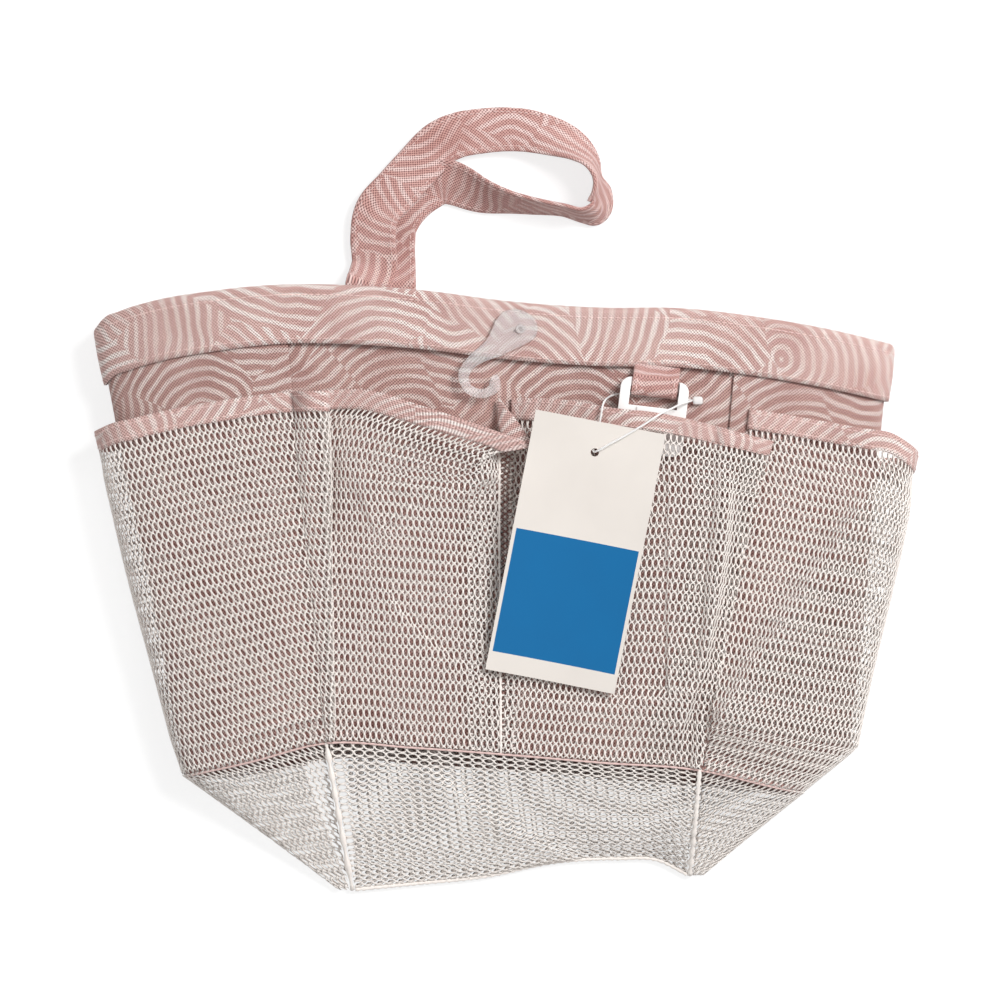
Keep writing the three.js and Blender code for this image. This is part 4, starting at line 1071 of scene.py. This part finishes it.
def front_pocket_at(shape, s, w):
    """A front pocket, whose mouth follows its own line and stands up from the wall."""
    mouth, foot, lift = shape
    row = row_at(mouth, s)
    x0 = mix(mouth[0][0], mouth[-1][0], s)
    x = mix(x0, mix(foot[0], foot[1], s), w)
    v = mix(FRONT_POCKET_MOUTH, 1, w)
    left, right = fold_at("front_left", v), fold_at("front_right", v)
    edge = right * BAG_WIDTH - EDGE_RUN / 3
    step = EDGE_STEP * ramp(x * BAG_WIDTH, edge - EDGE_RUN, edge)
    swell = FRONT_SWELL * np.sin(np.pi * s) * np.sin(np.pi * w)
    height = row[..., 2] * lift * (1 - w) ** LIFT_FADE
    points = tube_at("front", (x - left) / (right - left), v, WALL_OFFSET + step + swell + height)
    left, right = (fold_at(name, FRONT_POCKET_MOUTH) for name in FRONT_CORNERS)
    base = tube_at("front", (x0 - left) / (right - left), FRONT_POCKET_MOUTH, 0)
    fade = (1 - ramp(w, 0, LOBE_FADE)) ** 2
    points[..., 0] += (row[..., 0] * BAG_WIDTH + FRAME_START[0] - base[..., 0]) * fade
    points[..., 1] += (row[..., 1] * BAG_LENGTH + FRAME_START[1] - base[..., 1]) * fade
    return points


def with_fold(grid, line, height, left, right):
    """Raises a ridge in a grid along a line and lets it run out on both sides."""
    places = np.array([bag_point(x, y, 0)[:2] for x, y in line])
    lengths = np.linalg.norm(np.diff(places, axis=0), axis=1)
    nearest, side, along = np.full(grid.shape[:2], np.inf), np.zeros(grid.shape[:2]), None
    for start, end, length, before in zip(places, places[1:], lengths,
                                          np.cumsum(lengths) - lengths):
        ahead = (end - start) / length
        offset = grid[..., :2] - start
        reach = np.clip(offset @ ahead, 0, length)
        away = offset - reach[..., None] * ahead
        distance = np.linalg.norm(away, axis=-1)
        closer = distance < nearest
        turned = np.where(ahead[0] * offset[..., 1] - ahead[1] * offset[..., 0] > 0, 1, -1)
        share = (before + reach) / lengths.sum()
        along = share if along is None else np.where(closer, share, along)
        side, nearest = np.where(closer, turned, side), np.minimum(nearest, distance)
    run = np.where(side > 0, left, right)
    rise = np.exp(-(np.sqrt(nearest**2 + FOLD_TIP**2) - FOLD_TIP) / run)
    rise *= smoothstep(along, 0, FOLD_ENDS) * (1 - smoothstep(along, 1 - FOLD_ENDS, 1))
    grid = grid.copy()
    grid[..., 2] += height * rise
    return grid


def hollow(grid, w_rows):
    """The front left pocket's hollow beside its neighbour's edge."""
    w = w_rows[:, None]
    s = steps(grid.shape[1] - 1)[None, :]
    fold = mix(0.17, 0.08, np.clip(w / 0.4, 0, 1))
    raised = smoothstep(s, 0.03, fold + 0.03) * (1 - smoothstep(w, 0.15, 0.5))
    fade = (1 - smoothstep(w, 0.3, 0.55)) * smoothstep(s, 0, 0.06)
    grid = grid.copy()
    grid[..., 2] += HOLLOW_DEPTH * (raised - 0.3) * fade
    return grid


def left_relief(grid, w_rows):
    return with_fold(with_fold(hollow(grid, w_rows), *LOBE_FOLD), *LEFT_LOW_FOLD)


def right_relief(grid, _):
    """The front right pocket's ridge, which runs out at the pocket's own edge."""
    inside = smoothstep(1 - steps(grid.shape[1] - 1), 0, 0.035)
    return mix(grid, with_fold(grid, *RIGHT_FRONT_FOLD), inside[None, :, None])


def front_pocket_grid(shape, relief, w_from, w_to, down):
    w_rows = mix(w_from, w_to, steps(down) ** 1.3)
    w = w_rows[:, None] + 0 * steps(90)
    return relief(front_pocket_at(shape, steps(90) + 0 * w, w), w_rows)


def under_card(grid):
    """Keeps a grid clear of the plane in which the card swings."""
    turn = np.array(Matrix.Rotation(TAG_TURN, 3, "Z") @ Matrix.Rotation(TAG_TILT, 3, "X"))
    hole = bag_point(TAG_HOLE_AT[0], TAG_HOLE_AT[1], HIGH_Z + TAG_LIFT)
    away = grid - hole
    plane = hole[2] - (away[..., :2] @ turn[:2, 2]) / turn[2, 2]
    beyond = np.maximum(ramp(np.hypot(away[..., 0], away[..., 1]), *CARD_REACH),
                        ramp(away[..., 0], *CARD_SIDE))
    grid = grid.copy()
    grid[..., 2] = np.minimum(grid[..., 2], plane - CARD_CLEARANCE + beyond * 0.02)
    return grid


def front_pocket(name, shape, relief):
    hem = BINDING_WIDTH / POCKET_LENGTH
    grid = puffed(front_pocket_grid(shape, relief, hem * 0.92, 1, 110), (0, 0, 1), POCKET_PUFF, 1.5)
    grid = under_card(grid)
    hem_grid = under_card(front_pocket_grid(shape, relief, 0, hem, 8))
    pocket(name, grid, hem_grid, (0, 0, 1), NET_LEANS["front"])
    return grid


def divider(grid):
    """The front left pocket's inner edge: a second layer of net and a looped selvage."""
    normal = outward(grid, (0, 0, 1))
    strip = (grid - normal * DIVIDER_GAP)[18:, 72:]
    reach = steps(8, 0, DIVIDER_REACH)[1:, None]
    beyond = strip[:, -1:] + np.array([1.0, 0, DIVIDER_RISE]) * reach
    strip = np.concatenate([strip, beyond], axis=1)
    bag_net("divider", strip, (0, 0, 1), 0.0, COARSE_SOLID_SHARE, upright=False, fine=False)
    turned, up = (values[14:, ::-1].transpose(1, 0, 2) for values in (grid, normal))
    path, up = edge_path(turned, up, 0.0002, 0.0002)
    seam_cord("divider_selvage", path, up, SELVAGE_RADIUS, NET, 0.4)


# The basin below the seam: the heights of its edges, and the round fold of its side strips
BOTTOM_EDGE_Z = CLOTH * 2 + LAYER_GAP
REAR_FOLD_Z = LOW_Z + BAG_RISE * NOSE_HEIGHT
EDGE_INSET = CLOTH * 0.8
BASIN_WIDTH = (BOTTOM_LINE[-1][0] - BOTTOM_LINE[0][0]) * BAG_WIDTH
FOLD_RADIUS = 0.0012
FOLD_REACH = 0.004
FOLD_ROUND = 0.4


def below_seam(side, s, offset):
    points = tube_at(side, s, 1.0, offset)
    points[..., 1] -= BASIN_GAP
    return points


def bottom_edge_at(s, z):
    x = mix(BOTTOM_LINE[0][0], BOTTOM_LINE[-1][0], s)
    line = line_at(BOTTOM_LINE, x) * BAG_LENGTH
    return np.stack([x * BAG_WIDTH, line, z + 0 * x], axis=-1) + FRAME_START


def rear_fold_at(s, z):
    (x0, y0), (x1, y1) = REAR_FOLD
    return np.stack([mix(x0, x1, s) * BAG_WIDTH, mix(y0, y1, s) * BAG_LENGTH, z + 0 * s],
                    axis=-1) + FRAME_START


def basin_steps(count):
    inset = EDGE_INSET / BASIN_WIDTH
    return steps(count, inset, 1 - inset)


def basin_grid(upper, lower, down, bulge):
    w = steps(down)[:, None, None]
    grid = mix(upper[None], lower[None], w)
    grid[..., 2] += bulge * np.sin(np.pi * w[..., 0])
    return grid


def basin_net(name, grid, towards, **layout):
    share = NET_SOLID_SHARE if layout.get("fine", True) else FOLDED_SOLID_SHARE
    bag_net(name, grid, towards, NET_LEANS["basin"], share, name + "_net", **layout)


def front_basin():
    s = basin_steps(120)
    grid = basin_grid(below_seam("front", s, WALL_OFFSET), bottom_edge_at(s, BOTTOM_EDGE_Z), 30,
                      BASIN_BULGE)
    grid = with_fold(ruffled(grid, (0, 0, 1), BASIN_WAVE, edge=0.2), *BASIN_FOLD)
    basin_net("front_basin", grid, (0, 0, 1), upright=False)
    return grid


def hidden_basin():
    """The basin's back strip and bottom, whose small holes stand for the net's further folds."""
    s = basin_steps(100)
    low = tube_at("back", 1 - s, 1.0, -WALL_OFFSET)
    low[..., 2] += CLOTH + 2 * LAYER_GAP - back_sag(1 - s, 1.0)
    back = basin_grid(low, rear_fold_at(s, REAR_FOLD_Z), 20, 0.0)
    bottom = basin_grid(rear_fold_at(s, REAR_FOLD_Z + CLOTH + LAYER_GAP), bottom_edge_at(s, CLOTH),
                        30, BASIN_BULGE)
    for name, grid in (("back_basin", back), ("bottom", bottom)):
        basin_net(name, grid, (0, 0, 1), upright=False, fine=False, opening=FOLDED_OPENING)


def side_basin(side, sign):
    """A strip folded along a line from the seam's outermost point to the bottom's corner."""
    outwards = np.array([sign * EDGE_INSET * 2, 0, 0])
    nose = 1 - NOSE

    def seam(s):
        offset = mix(WALL_OFFSET, -TUCK_OFFSET, ramp(s, nose, 1))
        return below_seam(side, 1 - s if side == "left" else s, offset) + outwards

    corner = BOTTOM_LINE[0] if side == "left" else BOTTOM_LINE[-1]
    bottom = bag_point(corner[0], corner[1], BOTTOM_EDGE_Z) + outwards
    fold_end = bottom + np.array([sign * FOLD_REACH, 0, 0])
    k = np.concatenate([steps(36), steps(36)[::-1][1:]])
    leaf = np.concatenate([np.ones(36), [0], -np.ones(36)])
    s = np.where(leaf < 0, mix(1, nose, k), nose * k)
    on_seam, tip = seam(s), seam(np.array([nose]))
    edge = np.where(leaf[:, None] < 0, seam(np.array([1.0])), seam(np.array([0.0])))
    w = steps(40)[:, None, None]
    grid = mix(mix(edge[None], bottom, w), mix(tip[None], fold_end, w), k[None, :, None])
    grid = grid + (on_seam - mix(edge, tip, k[:, None]))[None] * (1 - w) ** 2
    close = np.clip((1 - k) * 6, 0, 1) ** 0.5
    grid[..., 2] += (leaf * close * FOLD_RADIUS)[None, :] * ramp(w[..., 0], 0, FOLD_ROUND)
    for _ in range(6):
        around = (grid[:-2, 1:-1] + grid[2:, 1:-1] + grid[1:-1, :-2] + grid[1:-1, 2:]) / 4
        grid[1:-1, 1:-1] = mix(around, grid[1:-1, 1:-1], 0.4)
    basin_net(side + "_basin", grid, (sign, 0, 1))


def seam_lines(front_basin_grid):
    """The sewn edges: round the tube's foot, along the bottom's edge and down the basin's sides."""
    for side, offset in FOOT_SEAMS:
        path = tube_at(side, steps(90), 1.003, offset)
        out = tube_at(side, steps(90), 1.003, offset + 0.001) - path
        seam_cord(side + "_seam", path, out, SEAM_RADIUS, THREAD, 0.25)
    path = bottom_edge_at(basin_steps(120), BOTTOM_EDGE_Z + 0.0002)
    seam_cord("bottom_seam", path, np.array((0.0, -0.3, 1.0)), BOTTOM_SEAM_RADIUS, NET, 0.3)
    for name, column, sign in (("left", 0, -1), ("right", -1, 1)):
        path = front_basin_grid[:, column] + np.array([sign * EDGE_INSET * 1.5, 0, 0.0001])
        seam_cord("basin_ridge_" + name, path, np.array((0.0, 0.0, 1.0)), BASIN_RIDGE_RADIUS, NET,
                  0.45)


# The handle's and the tab's places and their webs' turns
WEB_Z = LOW_Z + BAND_FACE + LAYER_GAP + WEB_THICKNESS / 2
HINGE_Y = MOUTH_LINE[6][1] * BAG_LENGTH + HINGE_OUT
TAIL_LENGTH = 0.026
STITCH_CLEARANCE = 0.0004
TAB_LENGTH = 0.0132
BAR_THICKNESS = 0.003
RUNNING_GAP = 0.0004


def web_turn(length, lead):
    """The middle line of a web that loops round a bar and is sewn back onto itself: along, up."""
    web = WEB_THICKNESS
    high = BAR_THICKNESS + 2 * RUNNING_GAP + 2 * web
    radius = high / 2
    bend, turn = length - radius, radius - web / 2
    line = [(a, web / 2) for a in steps(16, 0, bend)]
    line += [(bend + turn * math.sin(a), radius - turn * math.cos(a))
             for a in steps(14, 0, math.pi)[1:-1]]
    line += [(a, high - web / 2) for a in steps(8, bend, lead + 1.6 * web)]
    # The web's end comes down and is sewn flat
    line += [(lead + 0.8 * web, high * 0.62), (lead - 0.4 * web, web * 1.75),
             (lead - 2.2 * web, web * 1.5)]
    return np.array(line)


def web_sections(path, across, thickness):
    """Flat, round-edged sections of a web along a path."""
    ahead = np.gradient(path, axis=0)
    ahead /= np.maximum(np.linalg.norm(ahead, axis=1, keepdims=True), 1e-12)
    across = across - ahead * (across * ahead).sum(axis=1, keepdims=True)
    across /= np.linalg.norm(across, axis=1, keepdims=True)
    out = np.cross(ahead, across)
    edge = thickness / 2
    flat = STRAP_WIDTH / 2 - edge
    face = [(x, edge * (1.0 + 0.12 * math.cos(4 * math.pi * x / STRAP_WIDTH)))
            for x in steps(14, -flat, flat)]
    side = [(flat + edge * math.cos(a), edge * math.sin(a)) for a in (0.8, 0.0, -0.8)]
    shape = face + side + [(x, -y) for x, y in face[::-1]] + [(-x, y) for x, y in side[::-1]]
    return np.stack([path + across * x + out * y for x, y in shape], axis=1), across, out


def handle_path():
    """The strap's middle line and the direction across it, from its root round to its tail."""
    t = steps(260)
    rows = row_at(STRAP_ROUTE, t)
    across_share, along, tilt, level = rows.T
    rise = (WEB_Z - STRAP_THICKNESS / 2) * (1 - ramp(along, 0, STRAP_RISE)) ** 2
    tilt = np.maximum(tilt, 0)
    stand = STRAP_WIDTH / 2 * np.sin(np.radians(tilt))
    x = STRAP_LEFT * BAG_WIDTH + across_share * LOOP_ACROSS
    y = HINGE_Y + along * LOOP_REACH
    z = STRAP_THICKNESS / 2 + STITCH_CLEARANCE + np.maximum(level, 0) * STRAP_PITCH + rise + stand
    loop = np.stack([x, y, z], axis=-1)
    heading = np.gradient(loop, axis=0)
    heading[:, 2] = 0
    heading /= np.linalg.norm(heading, axis=1, keepdims=True)
    left = np.stack([-heading[:, 1], heading[:, 0], 0 * x], axis=-1)
    tilt = np.radians(tilt)[:, None]
    across = left * np.cos(tilt) + np.array([0, 0, 1]) * np.sin(tilt)
    root_y = steps(10, HINGE_Y - HINGE_GAP - ROOT_LENGTH, HINGE_Y - 0.001)
    root = np.stack([x[0] + 0 * root_y, root_y, z[0] + 0 * root_y], axis=-1)
    along_tail, up = web_turn(TAIL_LENGTH, TAIL_LENGTH - TAB_LENGTH).T
    tail = np.stack([x[-1] + 0 * up, HINGE_Y - HINGE_GAP - along_tail,
                     z[-1] - WEB_THICKNESS / 2 + up], axis=-1)
    path = np.concatenate([root, loop, tail]) + FRAME_START
    across = np.concatenate([np.tile(across[:1], (len(root), 1)), across,
                             np.tile(across[-1:], (len(tail), 1))])
    return path, across, len(root), len(loop)


def handle():
    path, across, root, loop = handle_path()
    sections, across, out = web_sections(path, across, STRAP_THICKNESS)
    piece = sweep("handle_webbing", sections, WEBBING)
    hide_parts("handle_strap", "strap_root", "strap_tail")
    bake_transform(piece)
    part = slice(root - 4, root + loop + 4)
    for name, side, face in (("in", -1, 1), ("out", 1, 1), ("under_in", -1, -1),
                             ("under_out", 1, -1)):
        line = path + across * side * (STRAP_WIDTH / 2 - HANDLE_STITCH_INSET)
        line += out * face * (STRAP_THICKNESS / 2 + STITCH_SINK)
        stitches = stitch_row("handle_stitches_" + name, line[part], out[part] * face,
                              SHORT_STITCH, HANDLE_STITCH_RADIUS, body=None)
        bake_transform(stitches)


def buckle_tab():
    along, up = web_turn(TAB_LENGTH, TAB_LEAD).T
    xs, ys = np.array(MOUTH_LINE).T
    place = bag_point(TAB_X, np.interp(TAB_X, xs, ys), HIGH_Z - WALL_OFFSET + CLOTH / 2 + LAYER_GAP)
    place[1] += TAB_TUCK - BAND_HEIGHT
    turn = np.array(Matrix.Rotation(TAB_TURN, 3, "Z"))
    path = np.stack([0 * up, -along, up], axis=-1) @ turn.T + place
    sections, across, out = web_sections(path, np.tile(turn[:, 0], (len(path), 1)), WEB_THICKNESS)
    piece = sweep("buckle_web", sections, WEBBING)
    finish_piece(piece, "bag", "strap_cloth", "buckle_tab")
    for name, side in (("left", -1), ("right", 1)):
        line = path + across * side * (STRAP_WIDTH / 2 - TAB_STITCH_INSET)
        line -= out * (WEB_THICKNESS / 2 + STITCH_SINK)
        stitch_row("buckle_web_stitches_" + name, line[17:-4], -out[17:-4], LONG_STITCH,
                   TAB_STITCH_RADIUS)


def dressed(node, body, material, slot, bevel):
    """A copy of a CAD node with rounded edges, in its place."""
    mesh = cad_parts[node].data.copy()
    mesh.materials.clear()
    mesh.materials.append(material)
    piece = placed(node + "_dressed", mesh)
    with edited(mesh) as form:
        bmesh.ops.remove_doubles(form, verts=form.verts, dist=WELD)
        bmesh.ops.dissolve_limit(form, angle_limit=math.radians(2), verts=form.verts,
                                 edges=form.edges)
    bevelled(piece, bevel, 3, 35)
    finish_piece(piece, body, slot, node)
    return piece


def hook_outline():
    """The hook's outline as a smooth closed line, in metres from its pin."""
    rows = np.array(HOOK_OUTLINE)
    count = len(rows)
    points = []
    for i in range(count):
        a, b, c, d = (rows[(i + k) % count] for k in (-1, 0, 1, 2))
        for f in steps(4)[:-1]:
            points.append(hermite(b, c, (c - a) / 2, (d - b) / 2, f))
    return np.array(points) * HOOK_REACH


def clear_hook():
    """The hook is cut from its outline and its hole, with rounded edges."""
    curve = bpy.data.curves.new("hook_outline", "CURVE")
    curve.dimensions = "2D"
    curve.fill_mode = "BOTH"
    turn = steps(20)[:-1] * 2 * math.pi
    for line in (hook_outline(), np.stack([np.cos(turn), np.sin(turn)], axis=-1) * HOOK_HOLE):
        spline = curve.splines.new("POLY")
        spline.points.add(len(line) - 1)
        for point, (x, y) in zip(spline.points, line):
            point.co = (x, y, 0, 1)
        spline.use_cyclic_u = True
    curve.extrude = HOOK_THICKNESS / 2 - HOOK_BEVEL
    curve.bevel_depth = HOOK_BEVEL
    curve.bevel_resolution = 3
    curve.offset = -HOOK_BEVEL
    drawn = placed("hang_hook_clear", curve)
    drawn.location = Vector(bag_point(*PIN_AT, HIGH_Z + BAND_FACE + LAYER_GAP + HOOK_THICKNESS / 2))
    bpy.context.view_layer.update()
    mesh = bpy.data.meshes.new_from_object(drawn.evaluated_get(bpy.context.evaluated_depsgraph_get()))
    mesh.transform(drawn.matrix_world)
    bpy.data.objects.remove(drawn)
    with edited(mesh) as form:
        bmesh.ops.remove_doubles(form, verts=form.verts, dist=WELD)
    mesh.materials.clear()
    mesh.materials.append(CLEAR)
    smooth(mesh)
    mesh.set_sharp_from_angle(angle=math.radians(40))
    finish_piece(placed("hang_hook_clear", mesh), "hook", "clear_plastic", "hang_hook")


def hang_tag():
    """The card: a thin sheet with a hole and a slight curl."""
    x, y = np.meshgrid(steps(52, -TAG_WIDTH / 2, TAG_WIDTH / 2),
                       steps(104, TAG_HOLE_DOWN, TAG_HOLE_DOWN - TAG_LENGTH))
    cupped = CARD_CUP * (x / TAG_WIDTH * 2) ** 2 * (1 - 0.85 * smoothstep(y, -0.02, 0.002))
    curl = cupped + CARD_CURL * np.sin((y - TAG_HOLE_DOWN) * 22)
    fade = smoothstep(np.hypot(x, y), 0.006, 0.03)
    grid = np.stack([x, y, 0.0004 + curl * fade], axis=-1)
    turn = (Matrix.Rotation(TAG_TURN, 4, "Z") @ Matrix.Rotation(TAG_TILT, 4, "X"))
    place = bag_point(TAG_HOLE_AT[0], TAG_HOLE_AT[1], HIGH_Z + TAG_LIFT)
    turned = grid @ np.array(turn)[:3, :3].T + place
    piece = cloth_sheet("hang_card", turned, CARD_THICKNESS, CARD, flat=np.stack([x, y], axis=-1),
                        round_edge=False)
    cut = hole_cutter(turn, place)
    cutting = piece.modifiers.new("hole", "BOOLEAN")
    cutting.operation = "DIFFERENCE"
    cutting.object = cut
    cutting.solver = "EXACT"
    apply_modifiers(piece)
    bpy.data.objects.remove(cut)
    piece.data.set_sharp_from_angle(angle=math.radians(50))
    finish_piece(piece, "tag", "card", "hang_tag")


def hole_cutter(turn, place):
    mesh = bpy.data.meshes.new("hole")
    with edited(mesh) as form:
        bmesh.ops.create_cone(form, cap_ends=True, segments=32, radius1=TAG_HOLE_RADIUS,
                              radius2=TAG_HOLE_RADIUS, depth=0.006)
    mesh.transform(Matrix.Translation(Vector(place)) @ turn)
    return placed("hole", mesh)


def tag_loop():
    """The card's thin clear loop, from its lock head through the hole and back."""
    route = [bag_point(x, y, HIGH_Z + z * TAG_LIFT) for x, y, z in FILAMENT_ROUTE]
    curve = bpy.data.curves.new("tag_loop", "CURVE")
    curve.dimensions = "3D"
    curve.resolution_u = 8
    spline = curve.splines.new("BEZIER")
    spline.bezier_points.add(len(route) - 1)
    for point, place in zip(spline.bezier_points, route):
        point.co = Vector(place)
        point.handle_left_type = point.handle_right_type = "AUTO"
    curve.bevel_depth = FILAMENT_RADIUS
    curve.bevel_resolution = 3
    curve.use_fill_caps = True
    curve.materials.append(MILKY)
    piece = placed("tag_loop", curve)
    finish_piece(piece, "bag", "clear_plastic", "tag_filament")
    head = dressed("filament_head", "bag", MILKY, "clear_plastic", 0.0009)


# The camera: metres a pixel at the plane it measures in, the picture's middle, lens and sensor
PIXEL = 0.00039
PHOTO_MIDDLE = 508.5
LENS = 200
SENSOR = 36
CAMERA_PLANE = 0.02


def shown_rays(tree):
    """One for the rays that show a surface itself and nought for those that carry its light."""
    rays = add_node(tree, "ShaderNodeLightPath").outputs
    bounced = maths(tree, "MAXIMUM", rays["Is Glossy Ray"], rays["Is Transmission Ray"])
    return maths(tree, "MAXIMUM", rays["Is Camera Ray"], bounced)


def stage():
    bpy.ops.mesh.primitive_plane_add(size=6, location=(0, 0, -0.0002))
    floor = bpy.context.object
    floor.name = "floor"
    made, tree, shader = new_material("floor", 0.9, Specular_IOR_Level=0.1,
                                      Base_Color=(0.9, 0.9, 0.9, 1))
    glow = add_node(tree, "ShaderNodeEmission", {"Color": (1, 1, 1, 1), "Strength": 0.75})
    pale = add_node(tree, "ShaderNodeBsdfDiffuse", {"Color": (0.35, 0.35, 0.35, 1)})
    added = add_node(tree, "ShaderNodeAddShader", {0: pale.outputs[0], 1: glow.outputs[0]})
    shown = add_node(tree, "ShaderNodeMixShader",
                     {0: shown_rays(tree), 1: shader.outputs[0], 2: added.outputs[0]})
    tree.links.new(shown.outputs[0], tree.nodes["Material Output"].inputs[0])
    floor.data.materials.append(made)

    world = bpy.context.scene.world or bpy.data.worlds.new("world")
    bpy.context.scene.world = world
    world.use_nodes = True
    tree = world.node_tree
    tree.nodes.clear()
    soft = add_node(tree, "ShaderNodeBackground", {"Color": (1, 1, 1, 1), "Strength": 0.46})
    bare = add_node(tree, "ShaderNodeBackground", {"Color": (1, 1, 1, 1), "Strength": 1.0})
    shown = add_node(tree, "ShaderNodeMixShader",
                     {0: shown_rays(tree), 1: soft.outputs[0], 2: bare.outputs[0]})
    out = add_node(tree, "ShaderNodeOutputWorld", {0: shown.outputs[0]})
    out.is_active_output = True

    for name, place, power, size in (("key", (1.0, 0.75, 1.6), 36, 0.7),
                                     ("fill", (-1.3, -0.2, 1.6), 3, 1.6)):
        lamp = bpy.data.lights.new(name, "AREA")
        lamp.energy = power
        lamp.size = size
        light = placed(name, lamp)
        light.location = place
        light.rotation_euler = (-Vector(place)).to_track_quat("-Z", "Y").to_euler()


def camera():
    lens = bpy.data.cameras.new("camera")
    lens.lens = LENS
    lens.sensor_width = SENSOR
    lens.clip_end = 20
    seen = placed("camera", lens)
    seen.location = (float(FRAME_START[0]) + (500 - PHOTO_MIDDLE) * PIXEL, float(FRAME_START[1]),
                     CAMERA_PLANE + 1000 * PIXEL * LENS / SENSOR)
    bpy.context.scene.camera = seen


camera()
stage()
tag_loop()
rim_band()
front_lining()
back_lining()
for side_name, side_sign in (("left", -1), ("right", 1)):
    side_lining(side_name, side_sign)
    side_pocket(side_name, side_sign)
    side_basin(side_name, side_sign)
divider(front_pocket("front_left", FRONT_LEFT, left_relief))
doubled_net("front_right_fold", front_pocket("front_right", FRONT_RIGHT, right_relief), (0, 0, 1),
            RIGHT_FRONT_FOLD[0], FRONT_DOUBLED, NET_LEANS["front"])
seam_lines(front_basin())
hidden_basin()
handle()
buckle_tab()
for node_name, body_name, bevel_width in (
        ("buckle_socket", "socket", 0.0006), ("buckle_plug", "plug", 0.0004),
        ("plug_prong_left", "prong_left", 0.0003), ("plug_prong_right", "prong_right", 0.0003)):
    dressed(node_name, body_name, WHITE, "white_plastic", bevel_width)
clear_hook()
dressed("hook_pin", "bag", CLEAR, "clear_plastic", 0.0003)
hang_tag()

bpy.context.scene.view_settings.view_transform = "Standard"
